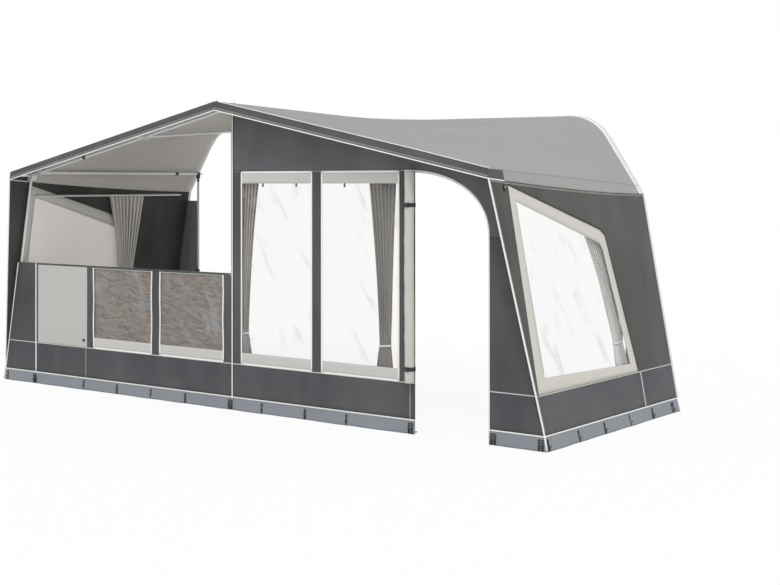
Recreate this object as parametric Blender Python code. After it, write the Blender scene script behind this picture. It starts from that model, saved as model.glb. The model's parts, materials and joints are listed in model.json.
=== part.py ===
"""Caravan awning: a six metre porch awning on a telescopic tube frame.

X runs to the right as seen from outside the front, Y runs from the canopy to the
caravan, Z is up. The origin is on the ground, in the middle of the awning.
"""
import math

import bmesh
import bpy
from mathutils import Matrix, Vector

# Main sizes, in metres
ROOF_DEPTH = 2.400
CANOPY_OVERHANG = 0.210
HALF_WIDTH = 3.008
SIDE_LEAN_SHARE = 0.1838
PEAK_HEIGHT = 2.555
GABLE_END_HEIGHT = 1.990
FASCIA_DROP = 0.070
RAIL_HEIGHT = 2.480
RAIL_FLAT_HALF = 2.020
RAIL_CORNER_RADIUS = 0.414
RAIL_CORNER_ANGLE = math.radians(60)
REAR_SEAM_HEIGHT = 1.797
SEAM_CURVE_SHARE = 1.6

# Heights of the front wall
FLAP_HEIGHT = 0.110
SILL_HEIGHT = 0.392
STRIP_HEIGHT = 0.092
WAIST_HEIGHT = 1.135
WINDOW_TOP = 1.975
ARCH_SPRING = 1.500

# Places across the front wall
CENTRE_PILLAR = 0.105
WINDOW_WIDTH = 0.755
PILLAR_WIDTH = 0.105
DOOR_EDGE = 1.872
CORNER_PANEL_WIDTH = 0.480
DOOR_JAMB = HALF_WIDTH - CORNER_PANEL_WIDTH
ARCH_START = 1.780
ARCH_POWER_SHARE = 2.2

# Cloth, film and the gap that touching pieces keep
CLOTH = 0.003
FILM = 0.0015
GAP = 0.0003

# Side window, measured back from the front wall and up from the ground
SIDE_FRAME = ((0.010, 0.392), (1.556, 0.392), (1.366, 1.470), (1.303, 1.515), (0.037, 1.868))
SIDE_PANE = ((0.128, 0.500), (1.444, 0.462), (1.298, 1.360), (1.262, 1.412), (0.114, 1.752))

# Bead that slides into the caravan's awning rail
BEAD_RADIUS = 0.00375
WELT_WIDTH = 0.022

# Roof panels: how each half is cut into strips, and where the rows along it lie
FLAT_STRIPS = 4
CORNER_STRIPS = 3
STEEP_SHARES = (0.44, 0.86, 1.0)
ROOF_ROW_SHARES = (0.30, 0.60)

# Tubes: the outer of each telescopic pair, and the inner that slides in it
TUBE_RADIUS = 0.0125
TUBE_BORE = 0.0115
INNER_RADIUS = 0.011
INNER_BORE = 0.010
TUBE_SIDES = 12
TUBE_INSET = 0.024
SLEEVE_RADIUS = 0.0165
HUB_BEVEL = 0.004

# Where the legs and the roof poles stand
DOOR_LEG_X = 1.795
MID_POLE_X = 1.070
EAVE_POLE_X = 2.500
REAR_LEG_INSET = 0.070
LEG_CLAMP_HEIGHT = 0.950
LEG_OVERLAP = 0.400
POLE_CLAMP_BACK = 0.390
POLE_OVERLAP = 0.500
POLE_END_BACK = 0.030
POLE_PIN_RADIUS = 0.006
POLE_PIN_LENGTH = 0.020
GABLE_CLAMP_X = 1.870
GABLE_CLAMP_LENGTH = 0.036

# Foot plates
FOOT_THICKNESS = 0.005
FOOT_SHORT = 0.017
FOOT_LONG = 0.070
FOOT_HALF = 0.032
PEG_HOLE_RADIUS = 0.006
PEG_HOLE_SHARE = 0.62
HOLE_SIDES = 8

# Clamp at each telescopic joint
CLAMP_RADIUS = 0.0165
CLAMP_HALF_LENGTH = 0.018
EAR_START = 0.0135
EAR_REACH = 0.029
EAR_HALF_HEIGHT = 0.0065
EAR_INNER = 0.0040
EAR_OUTER = 0.0075
PIN_REACH = 0.0228
PIN_RADIUS = 0.0022
PIN_SIDES = 6
LEVER_CLEARANCE = 0.0005
LEVER_WALL = 0.0026
LEVER_LENGTH = 0.048
LEVER_TIP = 0.0035
LEVER_SIDES = 8

# Spikes that come through the roof's eyelets
SPIKE_RADIUS = 0.003
SPIKE_TIP_RADIUS = 0.001
SPIKE_HEIGHT = 0.020
SPIKE_SIDES = 6
SPIKE_INSET = 0.024

# Folded veranda and its rail
RAIL_END_INSET = 0.120
FOLD_START = 0.030

# Rolled door
ROLL_RADIUS = 0.042
ROLL_CORE = 0.010
ROLL_TURNS = 3
ROLL_STEPS = 12
ROLL_AIR = 0.0012
STRAP_WIDTH = 0.030
STRAP_THICKNESS = 0.0018
STRAP_SIDES = 16
STRAP_HEIGHTS = (0.497, 1.722)

# Peg ladders along the mud flap
LADDER_WIDTH = 0.018
LADDER_LENGTH = 0.075
LADDER_THICKNESS = 0.004
LADDER_HOLE = 0.005
LADDER_TOP = 0.080
LADDER_HOLE_PLACE = 0.018
SIDE_LADDERS = 5
SIDE_LADDER_INSET = 0.090
LADDER_EDGE = 0.060
FRONT_LADDER_COUNT = 11

# Buckles at the eave corners
BUCKLE_WIDTH = 0.030
BUCKLE_HEIGHT = 0.045
BUCKLE_THICKNESS = 0.008
BUCKLE_BACK = -0.034
BUCKLE_DROP = 0.012
BUCKLE_BEVEL = 0.002

# Curtains and their rails
CURTAIN_RAIL_DEPTH = 0.058
CURTAIN_RAIL_THICKNESS = 0.012
CURTAIN_RAIL_LIFT = 0.008
CURTAIN_RAIL_END = 0.060
SIDE_RAIL_DROP = 0.020
SIDE_RAIL_FRONT = 0.100
SIDE_RAIL_SEWN = 0.720
SIDE_RAIL_BACK = 0.200
CURTAIN_DEPTH = 0.038
CURTAIN_FOLD = 0.014
CURTAIN_CLOTH = 0.005
CURTAIN_FOLDS = 6
CURTAIN_STEPS = 6
CURTAIN_BOTTOM = 0.430
TIE_HEIGHT = 0.640
TIE_BAND = 0.026
TIE_BITE = 0.001
TIE_THICKNESS = 0.002
FRONT_CURTAIN = ((0.042, 0.285), (0.040, 0.135), (0.040, 0.170))
DOOR_CURTAIN = ((1.672, 1.400), (1.620, 1.512), (1.640, 1.480))
SIDE_CURTAIN = ((1.480, 1.020), (1.440, 1.290), (1.470, 1.270))

# Zip sliders
ZIP_WIDTH = 0.010
ZIP_LENGTH = 0.022
ZIP_THICKNESS = 0.005
ZIP_TAB_WIDTH = 0.006
ZIP_TAB_LENGTH = 0.030
ZIP_TAB_THICKNESS = 0.002
CENTRE_ZIP_HEIGHT = 1.175
DOOR_ZIP_HEIGHT = 0.180

# Draught panels that close the gap beside the caravan
DRAUGHT_TOP = 1.700
DRAUGHT_BACK = 0.034
DRAUGHT_EDGE = 0.022

# Overrun of every cutter past the face that it cuts
CUT_OVERRUN = 0.010

# Seats in the joint blocks, and how far the blocks reach
SEAT_GAP = 0.0008
SLIDE_GAP = 0.0004
HUB_REACH = 0.032
HUB_FRONT = 0.0165
HUB_BACK = 0.040
HUB_STUB = 0.046
CORNER_REACH = 0.009
GABLE_START = 0.022
GABLE_END_REACH = 0.004
POLE_REAR_DROP = 0.022
ARM_CLEARANCE = 0.002
HEADER_CLEARANCE = 0.001
RAIL_TILT = 0.003
ROLL_BACK = 0.017
ARCH_STEPS = 5
FOLD_STEPS = 8
BEAD_SIDES = 6
WINDOW_HEM = 0.004
STUB_FREE = 0.030
CURTAIN_ROWS = 5

# Colour, roughness, metal and alpha of each finish
FINISHES = {
    "roof_cloth": ((0.36, 0.37, 0.37), 0.85),
    "dark_cloth": ((0.085, 0.088, 0.105), 0.85),
    "side_cloth": ((0.100, 0.098, 0.095), 0.85),
    "skirt_cloth": ((0.075, 0.080, 0.095), 0.80),
    "pale_border": ((0.60, 0.57, 0.52), 0.80),
    "taupe_cloth": ((0.25, 0.22, 0.20), 0.90),
    "curtain_cloth": ((0.42, 0.39, 0.34), 0.90),
    "flap_pvc": ((0.22, 0.27, 0.31), 0.45),
    "clear_film": ((0.85, 0.87, 0.88), 0.10, 0.0, 0.30),
    "white_trim": ((0.85, 0.85, 0.84), 0.50),
    "black_plastic": ((0.02, 0.02, 0.02), 0.50),
    "steel_tube": ((0.62, 0.63, 0.65), 0.35, 1.0),
}

# Places that follow from the sizes above
FASCIA_Y = -ROOF_DEPTH / 2
FRONT_Y = FASCIA_Y + CANOPY_OVERHANG
REAR_Y = ROOF_DEPTH / 2
CLOTH_REAR_Y = REAR_Y - 2 * BEAD_RADIUS - GAP - WELT_WIDTH
LEAN_ANGLE = math.atan(SIDE_LEAN_SHARE)
FLAP_TOP = FLAP_HEIGHT - CLOTH * math.sin(LEAN_ANGLE) - GAP
FRONT_SEAM_HEIGHT = GABLE_END_HEIGHT - FASCIA_DROP
FRAME_Y = FRONT_Y + TUBE_INSET
WINDOW_EDGES = (
    CENTRE_PILLAR,
    CENTRE_PILLAR + WINDOW_WIDTH,
    CENTRE_PILLAR + WINDOW_WIDTH + PILLAR_WIDTH,
    CENTRE_PILLAR + 2 * WINDOW_WIDTH + PILLAR_WIDTH,
)
WINDOWS = (WINDOW_EDGES[:2], WINDOW_EDGES[2:])
RAIL_FOLD_RADIUS = TUBE_RADIUS + GAP + CLOTH
VERANDA_RAIL_Z = WAIST_HEIGHT - RAIL_FOLD_RADIUS
VERANDA_WINDOW_TOP = VERANDA_RAIL_Z - WINDOW_HEM
VERANDA_RAIL_Y = FRONT_Y + RAIL_FOLD_RADIUS
LEFT = -1
RIGHT = 1
UP = Vector((0, 0, 1))
BACK = Vector((0, 1, 0))
ACROSS = Vector((1, 0, 0))


def material(name, colour, roughness, metallic=0.0, alpha=1.0):
    """A Principled material of one colour."""
    made = bpy.data.materials.new(name)
    made.use_nodes = True
    shader = made.node_tree.nodes["Principled BSDF"]
    shader.inputs["Base Color"].default_value = (*colour, 1.0)
    shader.inputs["Roughness"].default_value = roughness
    shader.inputs["Metallic"].default_value = metallic
    shader.inputs["Alpha"].default_value = alpha
    return made


def finish(name, bm, colour, smooth=False):
    """Turn a bmesh into a named object with outward faces and its own material."""
    bmesh.ops.recalc_face_normals(bm, faces=bm.faces)
    mesh = bpy.data.meshes.new(name)
    bm.to_mesh(mesh)
    bm.free()
    mesh.materials.append(material(name, *FINISHES[colour]))
    if smooth:
        mesh.shade_smooth()
        mesh.set_sharp_from_angle(angle=math.radians(35))
    made = bpy.data.objects.new(name, mesh)
    bpy.context.scene.collection.objects.link(made)
    return made


def cutter(name, bm):
    """A closed shape that only cuts: drawn as wire and left out of the part."""
    bmesh.ops.recalc_face_normals(bm, faces=bm.faces)
    mesh = bpy.data.meshes.new(name)
    bm.to_mesh(mesh)
    bm.free()
    made = bpy.data.objects.new(name, mesh)
    bpy.context.scene.collection.objects.link(made)
    made.hide_render = True
    made.display_type = "WIRE"
    return made


def combine(target, bm, operation, ending, crossing=True):
    """Join a shape to a piece, or take it away; its own parts may cross."""
    tool = cutter(target.name + ending, bm)
    step = target.modifiers.new(tool.name, "BOOLEAN")
    step.operation = operation
    step.object = tool
    step.use_self = crossing


def cut(target, bm, crossing=True):
    """Take a shape away from a piece."""
    combine(target, bm, "DIFFERENCE", "_cuts", crossing)


def weld(target, bm):
    """Join a shape to a piece that it overlaps."""
    combine(target, bm, "UNION", "_joined")


def add_plate(bm, corners, inward):
    """A flat outline given a thickness by the vector inward."""
    outer = [bm.verts.new(corner) for corner in corners]
    inner = [bm.verts.new(Vector(corner) + inward) for corner in corners]
    bm.faces.new(outer)
    bm.faces.new(list(reversed(inner)))
    for place, vert in enumerate(outer):
        after = (place + 1) % len(outer)
        bm.faces.new((vert, inner[place], inner[after], outer[after]))


def add_pierced_plate(bm, corners, holes, inward):
    """A plate with holes: its outlines are filled between and joined by walls."""
    sides = []
    for shift in (Vector(), inward):
        rings = [[bm.verts.new(Vector(point) + shift) for point in ring] for ring in (corners, *holes)]
        edges = [bm.edges.new((ring[i - 1], ring[i])) for ring in rings for i in range(len(ring))]
        bmesh.ops.triangle_fill(bm, edges=edges, use_beauty=True)
        sides.append(rings)
    for near, far in zip(*sides):
        for place, vert in enumerate(near):
            after = (place + 1) % len(near)
            bm.faces.new((vert, far[place], far[after], near[after]))


def add_skin(bm, rings):
    """Skin over a row of rings, closed at both ends."""
    count = len(rings[0])
    for near, far in zip(rings, rings[1:]):
        for step in range(count):
            after = (step + 1) % count
            bm.faces.new((near[step], near[after], far[after], far[step]))
    bm.faces.new(rings[0])
    bm.faces.new(list(reversed(rings[-1])))


def add_sheet(bm, outer, inner, skip=()):
    """A closed sheet between two grids of points, without the skipped cells."""
    rows = range(len(outer) - 1)
    columns = range(len(outer[0]) - 1)
    cells = [(i, j) for i in rows for j in columns if (i, j) not in skip]
    made = {}

    def corner(layer, spot):
        if (layer, spot) not in made:
            made[layer, spot] = bm.verts.new((outer, inner)[layer][spot[0]][spot[1]])
        return made[layer, spot]
    sides = set()
    for i, j in cells:
        ring = ((i, j), (i, j + 1), (i + 1, j + 1), (i + 1, j))
        for half in ((ring[0], ring[1], ring[2]), (ring[0], ring[2], ring[3])):
            bm.faces.new([corner(0, spot) for spot in half])
            bm.faces.new([corner(1, spot) for spot in reversed(half)])
        sides |= {(ring[k - 1], ring[k]) for k in range(4)}
    for near, far in sides:
        if (far, near) not in sides:
            bm.faces.new((corner(0, near), corner(1, near), corner(1, far), corner(0, far)))


def add_window(bm, frame, pane, spot):
    """A border of full thickness round a thinner pane, as one piece."""
    frame = inset(frame)
    depth = (CLOTH - FILM) / 2
    layers = ((frame, 0), (pane, 0), (pane, depth), (pane, CLOTH - depth), (pane, CLOTH), (frame, CLOTH))
    rings = [[bm.verts.new(spot(*point, deep)) for point in outline] for outline, deep in layers]
    count = len(frame)
    for near, far in ((0, 1), (1, 2), (3, 4), (4, 5), (5, 0)):
        for step in range(count):
            after = (step + 1) % count
            bm.faces.new((rings[near][step], rings[near][after], rings[far][after], rings[far][step]))
    bm.faces.new(rings[2])
    bm.faces.new(rings[3])


def aim(start, end, side=None):
    """A matrix at start whose Z axis points at end and whose X axis leans to side."""
    along = (Vector(end) - Vector(start)).normalized()
    if side is None:
        side = UP if abs(along.y) > max(abs(along.x), abs(along.z)) else BACK
    across = (side - along * side.dot(along)).normalized()
    turn = Matrix((across, along.cross(across), along)).transposed()
    return Matrix.Translation(start) @ turn.to_4x4()


def add_turned(bm, place, profile, sides, closed=True):
    """Turn a profile of (radius, height) points about the Z axis of place."""
    rings = []
    for radius, height in profile:
        angles = [2 * math.pi * (step + 0.5) / sides for step in range(sides)]
        ring = [place @ Vector((radius * math.cos(a), radius * math.sin(a), height)) for a in angles]
        rings.append([bm.verts.new(point) for point in ring])
    count = len(rings)
    for index in range(count if closed else count - 1):
        near = rings[index]
        far = rings[(index + 1) % count]
        for step in range(sides):
            after = (step + 1) % sides
            bm.faces.new((near[step], near[after], far[after], far[step]))
    if not closed:
        bm.faces.new(rings[0])
        bm.faces.new(list(reversed(rings[-1])))


def add_tube(bm, start, end, radius, bore, sides=TUBE_SIDES):
    """A hollow tube between two points."""
    length = (Vector(end) - Vector(start)).length
    profile = ((radius, 0), (radius, length), (bore, length), (bore, 0))
    add_turned(bm, aim(start, end), profile, sides)


def add_rod(bm, start, end, radius, sides=TUBE_SIDES, end_radius=None):
    """A solid rod or cone between two points."""
    length = (Vector(end) - Vector(start)).length
    profile = ((radius, 0), (radius if end_radius is None else end_radius, length))
    add_turned(bm, aim(start, end), profile, sides, closed=False)


def add_block(bm, place, low, high, bevel=0.0):
    """A box between two corners in the axes of place, with its edges rounded."""
    made = bmesh.ops.create_cube(bm, size=1)["verts"]
    for vert in made:
        share = vert.co + Vector((0.5, 0.5, 0.5))
        spot = Vector([low[axis] + (high[axis] - low[axis]) * share[axis] for axis in range(3)])
        vert.co = place @ spot
    if bevel:
        edges = list({edge for vert in made for edge in vert.link_edges})
        bmesh.ops.bevel(bm, geom=edges, offset=bevel, segments=1, affect="EDGES")


def side_x(height):
    """Distance of a side wall's outer face from the middle, at a height."""
    return HALF_WIDTH - SIDE_LEAN_SHARE * height


def side_inward(side):
    """The way into the room, square to a side wall."""
    return Vector((-side * math.cos(LEAN_ANGLE), 0, -math.sin(LEAN_ANGLE)))


def on_side(side, back, height, depth=0.0):
    """A point on a side wall, back from the front wall and depth inside its outer face."""
    return Vector((side * side_x(height), FRONT_Y + back, height)) + side_inward(side) * depth


def inside_x(height):
    """Where the front wall ends against a side wall's inner face."""
    return side_x(height) - (CLOTH + GAP) / math.cos(LEAN_ANGLE)


def on_front(x, height, depth=0.0):
    """A point on the front wall, depth inside its outer face."""
    return Vector((x, FRONT_Y + depth, height))


ROOF_FRONT = FASCIA_Y + CLOTH + GAP
ROOF_ROWS = [ROOF_FRONT, FRONT_Y] + [
    FRONT_Y + share * (CLOTH_REAR_Y - FRONT_Y) for share in ROOF_ROW_SHARES
] + [CLOTH_REAR_Y]


def seam_at(y):
    """Height of the seam between roof and side wall on its smooth line."""
    left = 1 - (y - FASCIA_Y) / ROOF_DEPTH
    return REAR_SEAM_HEIGHT + (FRONT_SEAM_HEIGHT - REAR_SEAM_HEIGHT) * max(left, 0) ** SEAM_CURVE_SHARE


def seam_height(y):
    """Height of that seam between the roof's rows, where it is sewn straight."""
    for near, far in zip(ROOF_ROWS, ROOF_ROWS[1:]):
        if y <= far:
            share = (y - near) / (far - near)
            return seam_at(near) + (seam_at(far) - seam_at(near)) * share
    return seam_at(y)


def rail_profile():
    """Half of the caravan rail as (x, z): flat top, round corner, steep side."""
    points = [(RAIL_FLAT_HALF * step / FLAT_STRIPS, RAIL_HEIGHT) for step in range(FLAT_STRIPS + 1)]
    for step in range(1, CORNER_STRIPS + 1):
        angle = RAIL_CORNER_ANGLE * step / CORNER_STRIPS
        drop = RAIL_CORNER_RADIUS * (1 - math.cos(angle))
        points.append((RAIL_FLAT_HALF + RAIL_CORNER_RADIUS * math.sin(angle), RAIL_HEIGHT - drop))
    top_x, top_z = points[-1]
    end_x = side_x(REAR_SEAM_HEIGHT)
    for share in STEEP_SHARES:
        points.append((top_x + (end_x - top_x) * share, top_z + (REAR_SEAM_HEIGHT - top_z) * share))
    return points


def gable_profile():
    """Half of the canopy's front line, divided at the same shares as the rail."""
    rail = [Vector(point) for point in rail_profile()]
    runs = [0.0]
    for near, far in zip(rail, rail[1:-1]):
        runs.append(runs[-1] + (far - near).length)
    half = side_x(GABLE_END_HEIGHT)
    fall = PEAK_HEIGHT - GABLE_END_HEIGHT
    points = [(half * run / runs[-1], PEAK_HEIGHT - fall * run / runs[-1]) for run in runs]
    return points + [(side_x(FRONT_SEAM_HEIGHT), FRONT_SEAM_HEIGHT)]


def roof_row(y):
    """Half of the roof's outer line at one depth, as (x, z) points."""
    share = (y - FASCIA_Y) / ROOF_DEPTH
    pairs = zip(gable_profile()[:-1], rail_profile()[:-1])
    points = [Vector(near).lerp(Vector(far), share) for near, far in pairs]
    seam = seam_height(y)
    return points + [Vector((side_x(seam), seam))]


def roof_inner(points):
    """The same line moved in by the cloth's thickness, mitred at each seam."""
    moved = []
    last = len(points) - 1
    for index, point in enumerate(points):
        if index == last:
            inward = side_inward(RIGHT)
            moved.append(point + Vector((inward.x, inward.z)) * CLOTH)
            continue
        after = (points[index + 1] - point).normalized()
        before = (point - points[index - 1]).normalized() if index else Vector((after.x, -after.y))
        mean = (before + after).normalized()
        normal = Vector((mean.y, -mean.x))
        moved.append(point + normal * CLOTH / mean.dot(after))
    return moved


def roof_under(x, y, drop=0.0):
    """Height of the roof's underside at a place, less a drop."""
    points = roof_inner(roof_row(y))
    for near, far in zip(points, points[1:]):
        if x <= far.x:
            return near.y + (far.y - near.y) * (x - near.x) / (far.x - near.x) - drop
    return points[-1].y - drop


def front_piece(bm, outline, holes=(), thickness=CLOTH, depth=0.0):
    """A flat piece of the front wall from (x, height) points."""
    corners, *rings = ([on_front(x, height, depth) for x, height in ring] for ring in (outline, *holes))
    if rings:
        add_pierced_plate(bm, corners, rings, BACK * thickness)
    else:
        add_plate(bm, corners, BACK * thickness)


def box_outline(x0, x1, z0, z1):
    """A rectangle that keeps half a gap inside each edge."""
    edge = GAP / 2
    return ((x0 + edge, z0 + edge), (x1 - edge, z0 + edge), (x1 - edge, z1 - edge), (x0 + edge, z1 - edge))


def window_outline(x0, x1, top):
    """A front window from the sill to its top."""
    return ((x0, SILL_HEIGHT), (x1, SILL_HEIGHT), (x1, top), (x0, top))


def spread(start, end, count):
    """Evenly spaced places from start to end, both included."""
    return [start + (end - start) * step / (count - 1) for step in range(count)]


def roof_top(x, y):
    """Height of the roof's outer face at a place."""
    points = roof_row(y)
    for near, far in zip(points, points[1:]):
        if x <= far.x:
            return near.y + (far.y - near.y) * (x - near.x) / (far.x - near.x)
    return points[-1].y


GABLE_LINE = min((roof_inner(roof_row(y))[:-1] for y in (FRAME_Y - HUB_FRONT, FRAME_Y + HUB_BACK)),
                 key=lambda line: line[0].y)
GABLE_SLOPE = math.atan2(GABLE_LINE[0].y - GABLE_LINE[-1].y, GABLE_LINE[-1].x - GABLE_LINE[0].x)
GABLE_TOP = GABLE_LINE[0].y - (SLEEVE_RADIUS + GAP) / math.cos(GABLE_SLOPE)


def gable_z(x):
    """Height of the gable poles' axis."""
    return GABLE_TOP - abs(x) * math.tan(GABLE_SLOPE)


def corner_leg(side, height):
    """A point on the axis of a corner leg, which leans with the side wall."""
    inset_x = TUBE_INSET / math.cos(LEAN_ANGLE)
    return Vector((side * (side_x(height) - inset_x), FRAME_Y, height))


def corner_hub():
    """Where the gable's axis meets the corner leg's."""
    slope = math.tan(GABLE_SLOPE)
    reach = HALF_WIDTH - TUBE_INSET / math.cos(LEAN_ANGLE)
    height = (GABLE_TOP - slope * reach) / (1 - slope * SIDE_LEAN_SHARE)
    return corner_leg(RIGHT, height)


CORNER_HUB = corner_hub()
LEG_SEAT = TUBE_RADIUS + 2 * SEAT_GAP + TUBE_RADIUS * math.tan(GABLE_SLOPE)
CORNER_LEG_TOP = CORNER_HUB.z - LEG_SEAT
CENTRE_LEG_TOP = GABLE_TOP - GABLE_START
DOOR_LEG_TOP = gable_z(DOOR_LEG_X) - LEG_SEAT
EAVE_Z = gable_z(EAVE_POLE_X)
POLES = {"eave_left": -EAVE_POLE_X, "mid_left": -MID_POLE_X, "ridge": 0.0,
         "mid_right": MID_POLE_X, "eave_right": EAVE_POLE_X}
ARM_PLACES = [-CORNER_HUB.x, -MID_POLE_X, 0.0, MID_POLE_X, CORNER_HUB.x]
POLE_START_Y = FRAME_Y + TUBE_RADIUS + 2 * SEAT_GAP
LEGS = ("corner_left", "corner_right", "centre", "door", "rear_left", "rear_right")
LEG_TOPS = {"corner_left": CORNER_LEG_TOP, "corner_right": CORNER_LEG_TOP, "centre": CENTRE_LEG_TOP,
            "door": DOOR_LEG_TOP, "rear_left": EAVE_Z - LEG_SEAT, "rear_right": EAVE_Z - LEG_SEAT}
FOOT_SPANS = {
    "corner_left": (-FOOT_SHORT, FOOT_LONG, -FOOT_SHORT, FOOT_LONG),
    "corner_right": (-FOOT_LONG, FOOT_SHORT, -FOOT_SHORT, FOOT_LONG),
    "centre": (-FOOT_HALF, FOOT_HALF, -FOOT_SHORT, FOOT_LONG),
    "door": (-FOOT_HALF, FOOT_HALF, -FOOT_SHORT, FOOT_LONG),
    "rear_left": (-FOOT_HALF, FOOT_HALF, -FOOT_LONG, FOOT_SHORT),
    "rear_right": (-FOOT_HALF, FOOT_HALF, -FOOT_LONG, FOOT_SHORT),
}
FOLD_END = inside_x(WAIST_HEIGHT) - RAIL_END_INSET
SIDE_RAIL_Z = REAR_SEAM_HEIGHT - SIDE_RAIL_DROP - CURTAIN_RAIL_THICKNESS
STRAP_BORE = (ROLL_RADIUS + GAP) / math.cos(math.pi / STRAP_SIDES)
STRAP_OUTER = STRAP_BORE + STRAP_THICKNESS
ROLL_X = DOOR_EDGE - ROLL_BACK
ROLL_Y = FRONT_Y - STRAP_OUTER * math.cos(math.pi / STRAP_SIDES) - GAP
FLAP_LADDERS = spread(-inside_x(0) + LADDER_EDGE, DOOR_EDGE - LADDER_EDGE, FRONT_LADDER_COUNT)
CORNER_LADDERS = spread(DOOR_JAMB + LADDER_EDGE, inside_x(FLAP_HEIGHT) - LADDER_EDGE, 2)
SPIKES = [Vector((x, y, roof_top(abs(x), y)))
          for x in (-CORNER_HUB.x, 0, CORNER_HUB.x) for y in (ROOF_FRONT + SPIKE_INSET, FRAME_Y)]


def pole_point(x, y):
    """A point on a roof pole's axis: level at the eaves, rising to the rail elsewhere."""
    front = gable_z(x)
    rear = EAVE_Z if abs(x) == EAVE_POLE_X else RAIL_HEIGHT - CLOTH - POLE_REAR_DROP
    return Vector((x, y, front + (rear - front) * (y - FRAME_Y) / (REAR_Y - FRAME_Y)))


def leg(name, height):
    """A point on a leg's axis."""
    if "corner" in name:
        return corner_leg(LEFT if "left" in name else RIGHT, height)
    if "rear" in name:
        side = LEFT if "left" in name else RIGHT
        return Vector((side * EAVE_POLE_X, REAR_Y - REAR_LEG_INSET, height))
    return Vector((0.0 if name == "centre" else DOOR_LEG_X, FRAME_Y, height))


def inset(outline, edge=GAP / 2):
    """Move every edge of a flat outline inwards, so that neighbours keep their gap."""
    points = [Vector(point) for point in outline]
    count = len(points)
    area = sum(points[i].x * points[i - 1].y - points[i - 1].x * points[i].y for i in range(count))
    turn = -1 if area > 0 else 1
    moved = []
    for i, point in enumerate(points):
        before = (point - points[i - 1]).normalized()
        after = (points[(i + 1) % count] - point).normalized()
        mean = (before + after).normalized()
        normal = Vector((-mean.y, mean.x)) * turn
        moved.append(point + normal * edge / max(mean.dot(after), 0.2))
    return moved


def wall_rows(start, end):
    """Seam points between two places on a side wall, a gap below the roof."""
    middle = [y - FRONT_Y for y in ROOF_ROWS if start < y - FRONT_Y < end]
    return [(back, seam_height(FRONT_Y + back)) for back in [start, *middle, end]]


def arch_points():
    """The door's arch from its start on the window line down to the jamb."""
    points = []
    for step in range(ARCH_STEPS + 1):
        angle = math.pi / 2 * step / ARCH_STEPS
        power = 2 / ARCH_POWER_SHARE
        x = ARCH_START + (DOOR_JAMB - ARCH_START) * math.sin(angle) ** power
        z = ARCH_SPRING + (WINDOW_TOP - ARCH_SPRING) * max(math.cos(angle), 0) ** power
        points.append((x, z))
    points[-1] = (DOOR_JAMB, ARCH_SPRING)
    return points


def arch_height(x):
    """Height of the arch's straight stretches at a place."""
    points = arch_points()
    for near, far in zip(points, points[1:]):
        if x <= far[0]:
            return near[1] + (far[1] - near[1]) * (x - near[0]) / (far[0] - near[0])
    return ARCH_SPRING


def under_line(start, end):
    """Points along the roof's underside over the front wall, from start to end."""
    line = roof_inner(roof_row(FRONT_Y + CLOTH))
    middle = [point.x for point in line[:-1] if start < point.x < end]
    return [(x, roof_under(x, FRONT_Y + CLOTH, HEADER_CLEARANCE)) for x in [start, *middle, end]]


def make_roof():
    """Roof cloth in one sewn sheet, with eyelets for the spikes of the frame."""
    bm = bmesh.new()
    grids = ([], [])
    for y in ROOF_ROWS:
        line = roof_row(y)
        for grid, points in zip(grids, (line, roof_inner(line))):
            lift = (line[-2] - line[-1]).normalized() * (GAP / 2)
            half = points[:-1] + [points[-1] + lift]
            across = [Vector((-p.x, p.y)) for p in reversed(half[1:])] + half
            grid.append([Vector((p.x, y, p.y)) for p in across])
    last = len(grids[0][0]) - 2
    add_sheet(bm, *grids, skip=((0, 0), (0, last)))
    roof = finish("roof", bm, "roof_cloth")
    eyelets = bmesh.new()
    for spot in SPIKES:
        low = spot - UP * CUT_OVERRUN
        add_rod(eyelets, low, spot + UP * CUT_OVERRUN, SPIKE_RADIUS + SEAT_GAP, SPIKE_SIDES)
    cut(roof, eyelets, crossing=False)


def make_canopy_fascia():
    """Dark band along the gable, turned back round both eave corners."""
    bm = bmesh.new()
    outer = ([], [])
    inner = ([], [])
    depth_y = FASCIA_Y + CLOTH
    for y, inside_y in ((FRONT_Y - GAP, FRONT_Y - GAP), (FASCIA_Y, depth_y)):
        line = roof_row(y)
        under = roof_inner(line)
        fall = (line[-1] - line[-2]).normalized() * GAP
        for row, end, move in ((0, -2, fall), (1, -1, -fall / 2)):
            outer[row].append(Vector((line[end].x + move.x, y, line[end].y + move.y)))
            inner[row].append(Vector((under[end].x + move.x, inside_y, under[end].y + move.y)))
    grids = []
    for grid, y in ((outer, FASCIA_Y), (inner, depth_y)):
        rows = []
        for points, height in zip(grid, (PEAK_HEIGHT - GAP, PEAK_HEIGHT - FASCIA_DROP)):
            left = [Vector((-p.x, p.y, p.z)) for p in points]
            rows.append(left + [Vector((0, y, height))] + list(reversed(points)))
        grids.append(rows)
    add_sheet(bm, *grids)
    finish("canopy_fascia", bm, "dark_cloth")


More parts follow.
